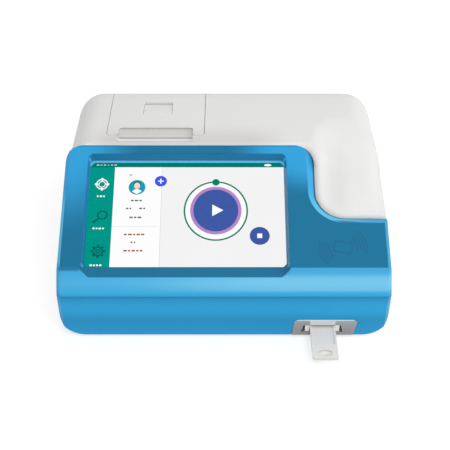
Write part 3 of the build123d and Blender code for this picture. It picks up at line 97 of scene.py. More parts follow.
# %% [markdown]
# ## Writing materials as sums
# A material is a net of nodes. Nets are quicker to read when they are written as sums, so one small
# class wraps a node's output and lets plus, minus, times and divide add the Math nodes. A second class
# holds one material and the single method that adds any other node.

# %% Signals and finishes
class Signal:
    """One output of a node, which can be used in sums like a number."""

    def __init__(self, finish, socket):
        self.finish = finish
        self.socket = socket

    def sum(self, operation, first, second):
        return self.finish.node("ShaderNodeMath", {"operation": operation}, {0: first, 1: second})

    def __add__(self, other):
        return self.sum("ADD", self, other)

    def __sub__(self, other):
        return self.sum("SUBTRACT", self, other)

    def __mul__(self, other):
        return self.sum("MULTIPLY", self, other)

    def __truediv__(self, other):
        return self.sum("DIVIDE", self, other)

    def __pow__(self, other):
        return self.sum("POWER", self, other)

    def __rsub__(self, other):
        return self.sum("SUBTRACT", other, self)

    def __rtruediv__(self, other):
        return self.sum("DIVIDE", other, self)

    __radd__ = __add__
    __rmul__ = __mul__

    def top(self, other):
        return self.sum("MAXIMUM", self, other)

    def wave(self):
        return self.finish.node("ShaderNodeMath", {"operation": "SINE"}, {0: self})

    def rise(self, low, high):
        """0 below low, 1 above high, and a soft step between them."""
        return self.finish.node("ShaderNodeMapRange", {"interpolation_type": "SMOOTHSTEP"},
                                {"Value": self, "From Min": low, "From Max": high})

    def within(self, low, high, soft):
        """1 from low to high, with a soft step this wide inside each end."""
        return self.rise(low, low + soft) * self.rise(high, high - soft)

    def gap(self, middle):
        """Distance from a middle value, on either side of it."""
        return ((self - middle) * (self - middle)) ** 0.5


class Finish:
    """One material with its node tree, or the node tree of another owner, such as the room."""

    def __init__(self, name, owner=None):
        self.material = owner or bpy.data.materials.new(name)
        self.material.use_nodes = True
        self.tree = self.material.node_tree
        self.tree.nodes.clear()
        self.place = None if owner else self.node("ShaderNodeTexCoord", output="Object")

    def node(self, kind, settings=None, inputs=None, output=0):
        """Add one node: its type, its settings, then the values or links of its sockets."""
        made = self.tree.nodes.new(kind)
        for key, value in (settings or {}).items():
            if key == "stops":
                set_stops(made.color_ramp, value)
            else:
                setattr(made, key, value)
        for key, value in (inputs or {}).items():
            if isinstance(value, Signal):
                self.tree.links.new(value.socket, made.inputs[key])
            else:
                made.inputs[key].default_value = value
        return Signal(self, made.outputs[output]) if made.outputs else made

    def blend(self, share, first, second):
        settings = {"data_type": "RGBA", "clamp_factor": True}
        return self.node("ShaderNodeMix", settings, {0: share, 6: first, 7: second}, 2)

    def over(self, colour, *layers):
        """A colour with shares of other colours laid over it, one after another."""
        for share, code in layers:
            colour = self.blend(share, colour, ink(code))
        return colour

    def ramp(self, value, stops):
        """Colours over a value from 0 to 1, given by their places and codes."""
        inked = [(place, ink(code)) for place, code in stops]
        return self.node("ShaderNodeValToRGB", {"stops": inked}, {0: value})

    def stretch(self, factors):
        return self.node("ShaderNodeVectorMath", {"operation": "MULTIPLY"}, {0: self.place, 1: factors})

    def noise(self, spot, detail=2.0, place=None):
        """Cloudy value from 0 to 1 with spots about this many millimetres wide."""
        inputs = {"Vector": place or self.place, "Scale": 1000.0 / spot, "Detail": detail}
        return self.node("ShaderNodeTexNoise", {}, inputs)

    def bump(self, height, depth, normal=None):
        """Relief of this many millimetres, on a normal of its own if one is given."""
        inputs = {"Height": height, "Distance": depth * MM, "Strength": 0.5}
        if normal:
            inputs["Normal"] = normal
        return self.node("ShaderNodeBump", {}, inputs)

    def axes(self):
        """X, Y and Z in millimetres."""
        split = self.node("ShaderNodeSeparateXYZ", {}, {0: self.place})
        outputs = split.socket.node.outputs
        return [Signal(self, socket) * 1000.0 for socket in outputs]

    def shade(self, **values):
        """Main shader; words joined by an underscore name its sockets."""
        inputs = {key.replace("_", " "): value for key, value in values.items()}
        shader = self.node("ShaderNodeBsdfPrincipled", {}, inputs)
        self.node("ShaderNodeOutputMaterial", {}, {"Surface": shader})
        return self.material


def set_stops(ramp, stops):
    """Replace a ramp's stops by these places and colours."""
    ramp.elements.remove(ramp.elements[1])
    ramp.elements[0].position = stops[0][0]
    ramp.elements[0].color = stops[0][1]
    for place, colour in stops[1:]:
        ramp.elements.new(place).color = colour


def ink(code, gain=1.0):
    """Colour of a six-figure code, as the linear values that shaders use."""
    parts = []
    for k in (0, 2, 4):
        value = int(code[k:k + 2], 16) / 255.0
        linear = value / 12.92 if value <= 0.04045 else ((value + 0.055) / 1.055) ** 2.4
        parts.append(min(linear * gain, 1.0))
    return (*parts, 1.0)


print("one grey, as a shader sees it", ink("808080"))

# %% [markdown]
# ## Moulded plastic
# Nearly every shell here is injection moulded. The tool's steel is spark eroded, which prints a fine
# grain into the plastic, and the colour drifts by a few hundredths over a large wall. Noise at two
# scales gives both: a broad one for the colour and a fine one for the gloss and the relief.

# %% Moulded plastic
def moulded(name, code, roughness, level=0.35, grain=0.8, relief=0.02, drift=0.04):
    finish = Finish(name)
    cloud = finish.noise(45.0)
    fine = finish.noise(grain)
    tint = finish.blend(cloud, ink(code, 1 - drift), ink(code, 1 + drift))
    return finish.shade(Base_Color=tint, Roughness=roughness + (fine - 0.5) * 0.12,
                        Specular_IOR_Level=level, Normal=finish.bump(fine, relief))


finishes = {
    "base_white": moulded("base_white", "D6D8DA", 0.5, relief=0.04),
    "black_plastic": moulded("black_plastic", "1E2022", 0.42),
    "rocker_black": moulded("rocker_black", "141517", 0.3, grain=0.4, relief=0.008),
    "foot_rubber": moulded("foot_rubber", "3A3C3E", 0.8, level=0.2, grain=0.5, relief=0.05),
    "platen_rubber": moulded("platen_rubber", "4A4B4D", 0.7, level=0.25, grain=0.3, relief=0.03),
    "nylon": moulded("nylon", "F6F4EE", 0.45, relief=0.01),
    "optics_black": moulded("optics_black", "17181A", 0.65, level=0.2, grain=0.4),
    "chip_black": moulded("chip_black", "1C1C1E", 0.55, grain=0.25, relief=0.01),
    "lcd_front": moulded("lcd_front", "26282B", 0.35, grain=0.3, relief=0.002),
    "head_ceramic": moulded("head_ceramic", "D9D2C4", 0.35, grain=0.4, relief=0.01),
}
print(len(finishes), "moulded finishes")

# %% [markdown]
# ## The card tray
# The tray is moulded in one piece, in a warmer white than the case, with a shallow dimple near its
# front edge for a fingertip. The solid has the dimple. The light is so soft that its rear slope hardly
# shows, so the finish paints a little shade along it.

# %% Card tray
TRAY_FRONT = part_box("card_tray")[0][1] / MM
TRAY_MIDDLE = 78.5
DIMPLE_FROM_EDGE = 5.4
DIMPLE_HALF_WIDTH = 5.7
DIMPLE_HALF_LENGTH = 3.6


def tray_white():
    finish = Finish("tray_plastic")
    x, y = finish.axes()[:2]
    fine = finish.noise(0.5)
    across = (x - TRAY_MIDDLE) / DIMPLE_HALF_WIDTH
    along = (y - (TRAY_FRONT + DIMPLE_FROM_EDGE)) / DIMPLE_HALF_LENGTH
    reach = across * across + along * along
    # painted shade on the dimple's rear slope
    dimple_shade = reach.rise(1.15, 1.0) * reach.rise(0.25, 0.8) * along.rise(-0.2, 0.5)
    plain = finish.blend(finish.noise(45.0), ink("EAE5DE", 0.98), ink("EAE5DE", 1.02))
    tint = finish.over(plain, (dimple_shade * 0.7, "B4B1AC"))
    return finish.shade(Base_Color=tint, Roughness=0.5 + (fine - 0.5) * 0.12,
                        Specular_IOR_Level=0.1, Normal=finish.bump(fine, 0.006))


finishes["tray_plastic"] = tray_white()
print("front edge of the tray", TRAY_FRONT)

# %% [markdown]
# ## The white housing
# The housing is a satin white shell of the same moulded plastic. A warmer, greyer painted shade lies
# beside the blue cover, on the front of the roof and in the valley of the right shoulder, where the shell
# turns away from the light. The recess at the paper slit has painted shade inside and along its rim, and
# the ledge before it is painted paler as lit, with a thin painted shadow along its brim. Ranges along the
# axes mark each of these places.
#
# The real shell flows round its right shoulder in one curve, where the solid has a slight crease. A
# Bevel node gives the normal that a rounded edge would have, and it is used on that shoulder alone.

# %% White housing: white and painted shade
ROOF = 115.0
RECESS_X = (-91.0, -23.9)
RECESS_Y = (24.7, 38.0)
LEDGE_X = (-89.4, -25.7)
LEDGE_Y = (13.9, 24.3)


def shell_white_and_shade(finish, x, y, z):
    """White of the shell, with its painted shade and the painted light of its ledge."""
    plain = finish.blend(finish.noise(60.0), ink("E4E4E3"), ink("EAEAE9"))
    # painted shade beside the cover, on the front of the roof and in the shoulder's valley
    shade_beside_cover = y.rise(30.0, -35.0) * x.rise(40.0, 10.0)
    roof_front_shade = y.rise(46.0, 11.0) * x.rise(62.0, 20.0) * x.rise(-116.0, -96.0)
    valley_shade = x.rise(78.0, 90.0) * x.rise(106.0, 93.0) * y.rise(-52.0, -30.0) * y.rise(34.0, 0.0)
    sunk = z.rise(ROOF - 0.05, ROOF - 0.3)
    # painted shade inside the recess, and a darker painted shade line along its rear and left rim
    recess_shade = x.within(*RECESS_X, 0.4) * y.within(*RECESS_Y, 0.6) * sunk
    rear_and_left = y.rise(RECESS_Y[1] - 3.5, RECESS_Y[1] - 2.0).top(x.rise(-86.5, -88.0))
    rim = recess_shade * z.rise(ROOF - 1.8, ROOF - 0.5) * rear_and_left
    # painted light on the ledge and a painted shadow along its front brim, deepest at its ends
    along = x.within(*LEDGE_X, 0.4)
    ledge_light = along * y.within(*LEDGE_Y, 0.3) * sunk
    ends = x.rise(-84.0, -88.6).top(x.rise(-31.0, -26.6))
    front_line = y.rise(LEDGE_Y[0] - 0.6, LEDGE_Y[0] - 0.2) * y.rise(LEDGE_Y[0] + 0.4, LEDGE_Y[0] + 0.2)
    brim_shadow = along * front_line * (0.35 + ends * 0.65)
    return finish.over(plain, (shade_beside_cover * 0.6, "D6D3CF"), (roof_front_shade * 0.85, "D3D0CE"),
                       (valley_shade * 0.7, "DAD9D8"), (recess_shade, "D5D4D1"), (rim, "ABAAA8"),
                       (ledge_light, "E8E8EA"), (brim_shadow, "A9A8A6"))


# %% White housing: shoulder and gloss
SHOULDER_RADIUS = 9.0


def shell_white():
    finish = Finish("white_shell")
    x, y, z = finish.axes()
    fine = finish.noise(0.9)
    rounded = finish.node("ShaderNodeBevel", {"samples": 6}, {"Radius": SHOULDER_RADIUS * MM})
    sharp = finish.node("ShaderNodeNewGeometry", output="Normal")
    shoulder = x.rise(60.0, 72.0) * y.rise(-60.0, -48.0) * z.rise(60.0, 66.0)
    normal = finish.node("ShaderNodeMix", {"data_type": "VECTOR"}, {0: shoulder, 4: sharp, 5: rounded}, 1)
    return finish.shade(Base_Color=shell_white_and_shade(finish, x, y, z), Roughness=0.42 + (fine - 0.5) * 0.1,
                        Specular_IOR_Level=0.25, Normal=finish.bump(fine, 0.02, normal))


finishes["white_shell"] = shell_white()
print("shell nodes", len(finishes["white_shell"].node_tree.nodes))

# %% [markdown]
# ## The blue cover
# The cover is one moulding with a glossy print. The flat face and the screen's pocket are deep blue,
# while the nose band, the chin and the bevels are lighter, partly as the print's second tone and partly
# as painted light on the surfaces that face the lamps. The face fades to the light blue in its two upper
# corners as a painted reflection. The zones could be painted by hand onto an unwrapped mesh. Here they
# follow the shape instead: the material works out where a point lies on the face and picks its colour
# from that.
#
# A ramp over the height gives the chin, the crease and the band, with painted light and shade down the
# chin, painted shade under the crease and a painted highlight along the band. The pocket's walls carry
# painted light on the left and painted shade on the right and at the top, and a painted highlight sits
# in each of its four corners, where a gloss would catch the light.

# %% Blue cover: chin, band and bevels
NOSE_HEIGHT = 70.0
# blues of the nose over its height, with painted light and shade down the chin, painted shade under the
# crease at 0.638 and a painted highlight along the band
NOSE_BLUES_AND_LIGHT = ((0.0, "31A6DE"), (0.13, "30A1D9"), (0.28, "2B9BCE"), (0.40, "33ABE3"), (0.50, "33ABE3"),
              (0.60, "319ED6"), (0.638, "2A88B8"), (0.648, "30A1D6"), (0.70, "4AB2E1"), (0.76, "63BFE7"),
              (0.80, "5CBAE5"), (0.86, "42A9DC"), (0.893, "37A0D4"), (0.92, "5DC1E6"))


def nose_paint(finish, x, z, up, out):
    """Blue of all that lies round the flat face, with its painted light and shade."""
    # painted shade on the band's left, where its highlight is weaker
    band_left_shade = z.within(46.0, 62.0, 2.0) * x.rise(20.0, -110.0)
    # painted highlight along the middle of the band, brightest to the right
    band_highlight = z.rise(47.5, 50.0) * z.rise(60.0, 56.5) * x.rise(-80.0, 50.0)
    above_nose = up.rise(30.0, 34.0)
    # lighter blue on the upper bevels and the right bevel above the nose, partly their tone and partly
    # painted light
    bevel_blue_and_light = up.rise(52.0, 74.0).top(x.rise(92.0, 122.0) * above_nose)
    wing_top = up - (44.6 - (x - 86.0) * 0.12)
    # painted shade along the wing's top edge
    wing_edge_shade = x.rise(84.0, 96.0) * wing_top.rise(0.0, -1.6) * above_nose
    drop = out.rise(-3.2, -3.9) * up.rise(20.0, 24.0)
    left_foot = x.rise(-111.0, -113.5) * z.rise(60.8, 62.4) * up.rise(0.9, 0.3)
    # lighter blue on the right side bevel, partly its tone and partly painted light
    right_edge = x.rise(125.5, 127.5) * out.rise(-0.2, -0.6) * up.rise(0.0, 3.0)
    # the ramp of the nose's blues, with their painted light and shade
    plain = finish.ramp(z / NOSE_HEIGHT, NOSE_BLUES_AND_LIGHT)
    return finish.over(plain, (band_left_shade * 0.65, "40AADF"), (band_highlight * 0.45, "84CEEC"), (bevel_blue_and_light, "3CA6DC"),
                       (wing_edge_shade, "247BA6"), (drop, "2C7EA8"), (left_foot, "26779F"), (right_edge, "3FA2D6"))


# %% Blue cover: painted corner reflections and pocket
POCKET_X = (-113.6, 53.0)
POCKET_FLOOR = -7.0
POCKET_FOOT = 4.4
FOOT_SLOPE = 0.4375
GLASS_MIDDLE = (-30.3, 52.2)
GLASS_HALF = (81.2, 47.8)


def corner_reflection(x, up, corner, stretch, reach):
    """Share of the painted reflection: 1 near an upper corner of the face, 0 beyond its reach."""
    across = (x - corner) * stretch
    along = up - FACE_LENGTH
    return ((across * across + along * along) ** 0.5).rise(reach, 20.0)


def pocket_foot(x, up, out):
    """Sloping shelf at the foot of the pocket, with slanted ends."""
    shelf = (out - (POCKET_FLOOR + (POCKET_FOOT - up) * FOOT_SLOPE)).rise(-0.5, -0.3)
    slant = (up + 0.7) * 1.1
    return shelf * (x + slant).rise(-111.9, -111.5) * (x - slant).rise(51.3, 50.9)


def pocket_highlights(x, up, out):
    """Painted highlights: small round spots at the four corners of the glass."""
    aside = x.gap(GLASS_MIDDLE[0]) - GLASS_HALF[0]
    above = up.gap(GLASS_MIDDLE[1]) - GLASS_HALF[1]
    return (aside * aside + above * above).rise(4.0, 0.4) * out.rise(-0.6, -1.4)


# %% Blue cover: the whole finish
COVER_HALF = 130.3
LEFT_REFLECTION = (-130.5, 1.35, 88.0)
RIGHT_REFLECTION = (73.5, 1 / 1.45, 50.0)


def cover_paint():
    finish = Finish("blue_gloss")
    x, y, z = finish.axes()
    up = (y - FACE_Y) * math.cos(SLOPE) + (z - FACE_Z) * math.sin(SLOPE)
    out = (z - FACE_Z) * math.cos(SLOPE) - (y - FACE_Y) * math.sin(SLOPE)
    # painted reflections fade the face to light blue in its two upper corners
    corner_reflections = corner_reflection(x, up, *LEFT_REFLECTION).top(corner_reflection(x, up, *RIGHT_REFLECTION))
    face = finish.blend(corner_reflections, ink("1E739A"), ink("34A2DB"))
    on_face = up.rise(0.3, 0.9)
    flat = out.rise(-0.55, -0.2) * on_face
    across = x.within(*POCKET_X, 0.4)
    pocket = across * pocket_foot(x, up, out).top(on_face)
    below = out.rise(-0.3, -0.7) * across
    beside = below * up.rise(3.0, 9.0) * up.rise(102.0, 99.0)
    nose = nose_paint(finish, x, z, up, out)
    paint = finish.blend(flat.top(pocket), nose, face)
    # painted light on the pocket's left wall and painted shade on its right wall
    paint = finish.over(paint, (x.rise(-110.3, -110.7) * beside, "3583BE"),
                        (x.rise(49.7, 50.1) * beside, "1F7CAE"),
                        # painted shade on the pocket's upper wall
                        (up.rise(99.6, 100.4) * below, "247BA8"),
                        # painted highlights in the pocket's four corners
                        (pocket_highlights(x, up, out) * 0.8, "56B9EC"),
                        # painted shade line along the top edge of the face
                        (flat * up.rise(FACE_LENGTH - 1.1, FACE_LENGTH - 0.7), "1A6E9C"),
                        (x.gap(0.0).rise(COVER_HALF, COVER_HALF + 0.12), "2F90C4"))
    orange_peel = finish.noise(6.0)
    return finish.shade(Base_Color=paint, Roughness=0.3 + (finish.noise(25.0) - 0.5) * 0.06,
                        Specular_IOR_Level=0.1, Normal=finish.bump(orange_peel, 0.004))


finishes["blue_gloss"] = cover_paint()
print("cover nodes", len(finishes["blue_gloss"].node_tree.nodes))

# %% [markdown]
# ## Metals
# Sheet steel is rolled, so its scratches run one way. Stretching the noise along one axis draws them.
# Turned pins, plated screws and port shells are the same metal with other scratches and other gloss.
# The card entrance wears a silver print instead, darker towards its foot. Its upper edge carries a painted
# highlight, and over the tray it carries a pale guard strip, which looks like plastic more than metal.

# %% Metals
SHEET_GRAIN = (1.0, 14.0, 14.0)


def metal(name, code, roughness, grain=SHEET_GRAIN):
    finish = Finish(name)
    scratch = finish.noise(3.0, 3.0, finish.stretch(grain))
    tint = finish.blend(scratch, ink(code, 0.82), ink(code, 1.08))
    return finish.shade(Base_Color=tint, Metallic=1.0, Roughness=roughness + (scratch - 0.5) * 0.2,
                        Normal=finish.bump(scratch, 0.004))


METALS = (
    ("steel_sheet", "B9BDC0", 0.38, SHEET_GRAIN), ("steel_pin", "C6C9CB", 0.22, (14.0, 1.0, 1.0)),
    ("screw_steel", "A9ADB0", 0.3, (4.0, 4.0, 1.0)), ("motor_can", "A4A8AB", 0.34, (1.0, 1.0, 18.0)),
    ("motor_steel", "B4B7B9", 0.3, (18.0, 1.0, 1.0)), ("port_steel", "C3C6C8", 0.27, (1.0, 10.0, 1.0)),
)
for row in METALS:
    finishes[row[0]] = metal(*row)
gold = metal("gold_plate", "E0B35A", 0.25, (1.0, 6.0, 1.0))
print("metals", len(METALS) + 1)

# %% Silver of the card entrance
ENTRY_HEIGHT = 19.0
ENTRY_EDGE = 17.0
ENTRY_STOPS = ((0.0, "8C8C8E"), (0.45, "8A8A8C"), (0.75, "979797"), (1.0, "A6A8A9"))
GUARD_X = (68.2, 89.0)
GUARD_FOOT = 12.4


def entry_silver():
    finish = Finish("entry_silver")
    x, _, z = finish.axes()
    fade = finish.ramp(z / ENTRY_HEIGHT, ENTRY_STOPS)
    fine = finish.noise(0.5, 2.0, finish.stretch((1.0, 1.0, 9.0)))
    guard = x.within(*GUARD_X, 0.7) * z.rise(GUARD_FOOT, GUARD_FOOT + 0.5)
    # painted highlight along the upper edge
    edge = z.rise(ENTRY_EDGE, ENTRY_EDGE + 0.5)
    tint = finish.over(fade, (fine * 0.3, "C3C6C8"), (guard * 0.85, "E4E6E6"), (edge, "F4F5F8"))
    return finish.shade(Base_Color=tint, Metallic=0.35 - edge.top(guard * 0.6) * 0.35,
                        Roughness=0.42 + (fine - 0.5) * 0.1, Normal=finish.bump(fine, 0.003))


finishes["entry_silver"] = entry_silver()
print("entrance nodes", len(finishes["entry_silver"].node_tree.nodes))

# %% [markdown]
# ## Boards, paper, ribbon and glass
# A circuit board shows its copper tracks as paler lines under the green lacquer. Thermal paper is
# faintly fibrous, and the end of a roll shows its windings as rings about the roll's axis. The ribbon
# cable is grey with a groove between its wires. The touch glass is coated against reflections and
# bonded close to the panel, so it bends and mirrors the light hardly at all.

# %% Boards, paper, ribbon and glass
ROLL_Y = 65.8
ROLL_Z = 86.3


def board_green():
    finish = Finish("board_green")
    x, y = finish.axes()[:2]
    bend = finish.noise(22.0, 0.0)
    tracks = (x * 1.1 + bend * 9.0).wave().rise(0.72, 0.86)
    ways = (y * 1.3 + bend * 7.0).wave().rise(0.8, 0.9)
    copper = tracks.top(ways * 0.8)
    tint = finish.blend(copper, ink("1C6B3C"), ink("3C8F58"))
    return finish.shade(Base_Color=tint, Roughness=0.32 + copper * 0.08, Normal=finish.bump(copper, 0.03))


def thermal_paper():
    finish = Finish("thermal_paper")
    axis = finish.node("ShaderNodeVectorMath", {"operation": "SUBTRACT"},
                       {0: finish.place, 1: room_point(0.0, ROLL_Y, ROLL_Z)})
    flat = finish.node("ShaderNodeVectorMath", {"operation": "MULTIPLY"}, {0: axis, 1: (0.0, 1.0, 1.0)})
    reach = finish.node("ShaderNodeVectorMath", {"operation": "LENGTH"}, {0: flat}, "Value")
    rings = (reach * 1000.0 * 9.0 + finish.noise(8.0) * 3.0).wave() * 0.5 + 0.5
    tint = finish.blend(rings, ink("E6E5E1"), ink("F2F1EE"))
    return finish.shade(Base_Color=tint, Roughness=0.6 + (finish.noise(0.6) - 0.5) * 0.1,
                        Specular_IOR_Level=0.3, Normal=finish.bump(rings, 0.02))


def ribbon_grey():
    finish = Finish("ribbon")
    wires = (finish.axes()[0] * 5.0).wave() * 0.5 + 0.5
    tint = finish.blend(wires, ink("8E9296"), ink("B8BBBE"))
    return finish.shade(Base_Color=tint, Roughness=0.45 + wires * 0.05, Normal=finish.bump(wires, 0.15))


def clear_glass(name, code, roughness, bend):
    finish = Finish(name)
    smear = finish.noise(18.0)
    tint = finish.blend(smear, ink(code, 0.985), ink(code))
    return finish.shade(Base_Color=tint, Roughness=roughness + smear * 0.01, Transmission_Weight=1.0,
                        IOR=bend)


finishes["board_green"] = board_green()
finishes["thermal_paper"] = thermal_paper()
finishes["ribbon"] = ribbon_grey()
finishes["screen_glass"] = clear_glass("screen_glass", "FFFFFF", 0.01, 1.04)
finishes["lens_glass"] = clear_glass("lens_glass", "E8F2FF", 0.0, 1.5)
print("finishes", len(finishes))

# %% [markdown]
# ## Finishes onto the solids
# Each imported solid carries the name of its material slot. Putting a finish on it means giving that
# slot the finish of the same name. The solids themselves aren't touched.

# %% Finishes onto the solids
bare = []
for name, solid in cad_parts.items():
    for slot in solid.material_slots:
        key = slot.material.name.split(".")[0] if slot.material else ""
        if key in finishes:
            slot.material = finishes[key]
        else:
            bare.append((name, key))
print("solids without a finish", bare)

# %% [markdown]
# ## Making a piece
# The fine details are built as meshes in room coordinates, so their origins stay at the model's own
# origin, as the solids' do. Every outline is drawn out into a thin closed plate, which is how printed
# and moulded details are on the real object, and every piece is told which body it rides on.

# %% Piece helpers
def make_piece(name, mesh, materials, body):
    """Object from a bmesh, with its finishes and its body."""
    bmesh.ops.recalc_face_normals(mesh, faces=mesh.faces)
    data = bpy.data.meshes.new(name)
    mesh.to_mesh(data)
    mesh.free()
    for material in materials:
        data.materials.append(material)
    piece = bpy.data.objects.new(name, data)
    bpy.context.scene.collection.objects.link(piece)
    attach(piece, body)
    return piece


def add_plate(mesh, outline, low, high, lay=face_point, tint=0, hole=None):
    """Closed plate from an outline, with a hole of as many points if one is given."""
    count = len(outline)
    rings = [[mesh.verts.new(lay(a, b, level)) for a, b in line]
             for line in ([outline, hole] if hole else [outline]) for level in (low, high)]
    made = []
    for k in range(count):
        j = (k + 1) % count
        made.append(mesh.faces.new([rings[0][k], rings[0][j], rings[1][j], rings[1][k]]))
        if hole:
            made.append(mesh.faces.new([rings[2][k], rings[3][k], rings[3][j], rings[2][j]]))
            made.append(mesh.faces.new([rings[1][k], rings[1][j], rings[3][j], rings[3][k]]))
            made.append(mesh.faces.new([rings[0][k], rings[2][k], rings[2][j], rings[0][j]]))
    if not hole:
        made.append(mesh.faces.new(rings[0]))
        made.append(mesh.faces.new(rings[1]))
    for face in made:
        face.material_index = tint


def bar(x0, x1, s0, s1):
    return [(x0, s0), (x1, s0), (x1, s1), (x0, s1)]


def disc(x, s, across, up=None, steps=64, start=0.0, sweep=360.0):
    """Points round an ellipse or along an arc of it."""
    up = across if up is None else up
    count = steps if sweep >= 360.0 else steps + 1
    turns = [math.radians(start + sweep * k / steps) for k in range(count)]
    return [(x + across * math.cos(t), s + up * math.sin(t)) for t in turns]


def pill(x, s, width, height, steps=8):
    """Bar with round ends, centred on x and s."""
    end = height / 2
    right = disc(x + width / 2 - end, s, end, steps=steps, start=-90.0, sweep=180.0)
    left = disc(x - width / 2 + end, s, end, steps=steps, start=90.0, sweep=180.0)
    return right + left


def arc_band(x, s, inner, outer, start, sweep, steps=16):
    """Outline of a curved stroke."""
    rim = disc(x, s, outer, steps=steps, start=start, sweep=sweep)
    return rim + disc(x, s, inner, steps=steps, start=start, sweep=sweep)[::-1]


def stroke(x0, s0, x1, s1, width):
    """Outline of a straight stroke."""
    run = math.hypot(x1 - x0, s1 - s0)
    a = -(s1 - s0) / run * width / 2
    b = (x1 - x0) / run * width / 2
    return [(x0 + a, s0 + b), (x0 - a, s0 - b), (x1 - a, s1 - b), (x1 + a, s1 + b)]


def turned(points, x, s, degrees):
    """Points turned about a centre."""
    c = math.cos(math.radians(degrees))
    d = math.sin(math.radians(degrees))
    return [(x + (a - x) * c - (b - s) * d, s + (a - x) * d + (b - s) * c) for a, b in points]


print("points of a disc", len(disc(0.0, 0.0, 1.0)))

# %% [markdown]
# ## The lit picture
# The panel shows a plain layout: a teal side bar with three symbols, a white column with rows of short
# dashes, and a large round button with a progress ring. A picture file could be laid on the panel, but
# each patch is a thin plate here, so that its edge stays sharp at any size. It glows by itself, as a
# screen does, and a faint grid stands for the pixels.

# %% Glowing inks
PIXELS_ACROSS = 15.7
PIXELS_UP = 34.8


def glowing(name, code):
    finish = Finish("picture_" + name)
    x, _, z = finish.axes()
    grid = ((x * PIXELS_ACROSS).wave() * (z * PIXELS_UP).wave()).rise(0.2, 0.9)
    light = finish.blend(grid * 0.05, ink(code, 1.015), ink("000000"))
    return finish.shade(Base_Color=ink("000000"), Roughness=0.6 + grid * 0.02, Specular_IOR_Level=0.0,
                        Emission_Color=light, Emission_Strength=1.0)


PICTURE_INKS = {
    "ground": "F3F3F3", "white": "FFFFFF", "teal": "009688", "deep_green": "00786D", "line": "D2D2D4",
    "grey": "6E6E73", "shade_teal": "07665E", "brown": "A2574A", "royal": "3F5AA5", "lilac": "B987C8",
    "plus_blue": "3C5AE6", "sea": "18A0B4", "pale": "F2DCCB", "dark": "2A2A30", "ring_green": "0B7F63",
    "edge_blue": "2C789F",
}
inks = list(PICTURE_INKS)
picture_materials = [glowing(name, PICTURE_INKS[name]) for name in inks]
PANEL_FRONT = -9.2
SHEET = 0.03
picture = bmesh.new()


def patch(outline, name, level, hole=None):
    """One patch of the picture, on its level above the panel."""
    low = PANEL_FRONT + SHEET * level
    add_plate(picture, outline, low, low + SHEET, tint=inks.index(name), hole=hole)


def ring(x, s, outer, inner, name, level):
    patch(disc(x, s, outer), name, level, disc(x, s, inner))


print("inks", len(inks))

# %% Picture: ground, side bar and column
PICTURE_LEFT = -111.0
PICTURE_RIGHT = 49.3
EDGE_RIGHT = 50.4
PICTURE_FOOT = 3.1
PICTURE_TOP = 101.1
HEADER_FOOT = 96.3
COLUMN_LEFT = -90.3
COLUMN_RIGHT = -51.4
patch(bar(PICTURE_LEFT, PICTURE_RIGHT, PICTURE_FOOT, PICTURE_TOP), "ground", 0)
patch(bar(PICTURE_RIGHT, EDGE_RIGHT, PICTURE_FOOT, PICTURE_TOP), "edge_blue", 0)
patch(bar(PICTURE_LEFT, EDGE_RIGHT, HEADER_FOOT, PICTURE_TOP), "deep_green", 1)
patch(bar(PICTURE_LEFT, COLUMN_LEFT, PICTURE_FOOT, HEADER_FOOT), "teal", 1)
patch(bar(COLUMN_LEFT, COLUMN_RIGHT, PICTURE_FOOT, HEADER_FOOT), "white", 1)
patch(bar(COLUMN_RIGHT, COLUMN_RIGHT + 0.35, PICTURE_FOOT, HEADER_FOOT - 2.3), "line", 2)
patch(bar(COLUMN_LEFT, COLUMN_RIGHT - 1.6, 41.2, 41.5), "line", 2)
for k, width in enumerate((2.2, 1.4, 1.8, 0.8, 1.6, 2.0)):
    patch(pill(-104.6 + 2.9 * k, 98.4, width, 0.75), "ground", 2)
for x, radius, level in ((34.4, 0.8, 2), (36.2, 1.2, 3), (38.0, 0.8, 2)):
    patch(disc(x, 98.3, radius * 1.5, radius, 24), "white", level)
print("picture faces", len(picture.faces))

# %% Picture: symbols of the side bar
DASH_GAP = 0.7
TARGET = (-100.2, 80.1)
LOUPE = (-98.4, 51.6)
COG = (-100.1, 19.0)


def dashes(x, s, widths, height, name, level):
    """Row of short dashes, centred on x."""
    place = x - (sum(widths) + DASH_GAP * (len(widths) - 1)) / 2
    for width in widths:
        patch(pill(place + width / 2, s, width, height, 6), name, level)
        place += width + DASH_GAP


ring(*TARGET, 5.0, 4.0, "white", 2)
ring(*TARGET, 3.0, 2.3, "white", 2)
for k in range(4):
    patch(turned(bar(-97.0, -94.3, 79.3, 80.9), *TARGET, 90.0 * k), "white", 3)
ring(*LOUPE, 4.3, 3.1, "shade_teal", 2)
patch(stroke(-101.2, 48.6, -106.0, 44.4, 1.6), "shade_teal", 2)
for k in range(8):
    patch(turned(bar(-101.0, -99.2, 22.2, 24.9), *COG, 45.0 * k), "shade_teal", 3)
ring(*COG, 4.3, 3.0, "shade_teal", 2)
ring(*COG, 2.0, 1.0, "shade_teal", 2)
for x, s, widths in ((-100.6, 68.9, (1.6, 2.1, 1.5)), (-101.0, 39.4, (1.9, 1.5, 2.2, 1.7)),
                     (-101.2, 6.9, (2.1, 1.6, 1.8, 2.0))):
    dashes(x, s, widths, 1.6, "white", 2)
print("picture faces", len(picture.faces))

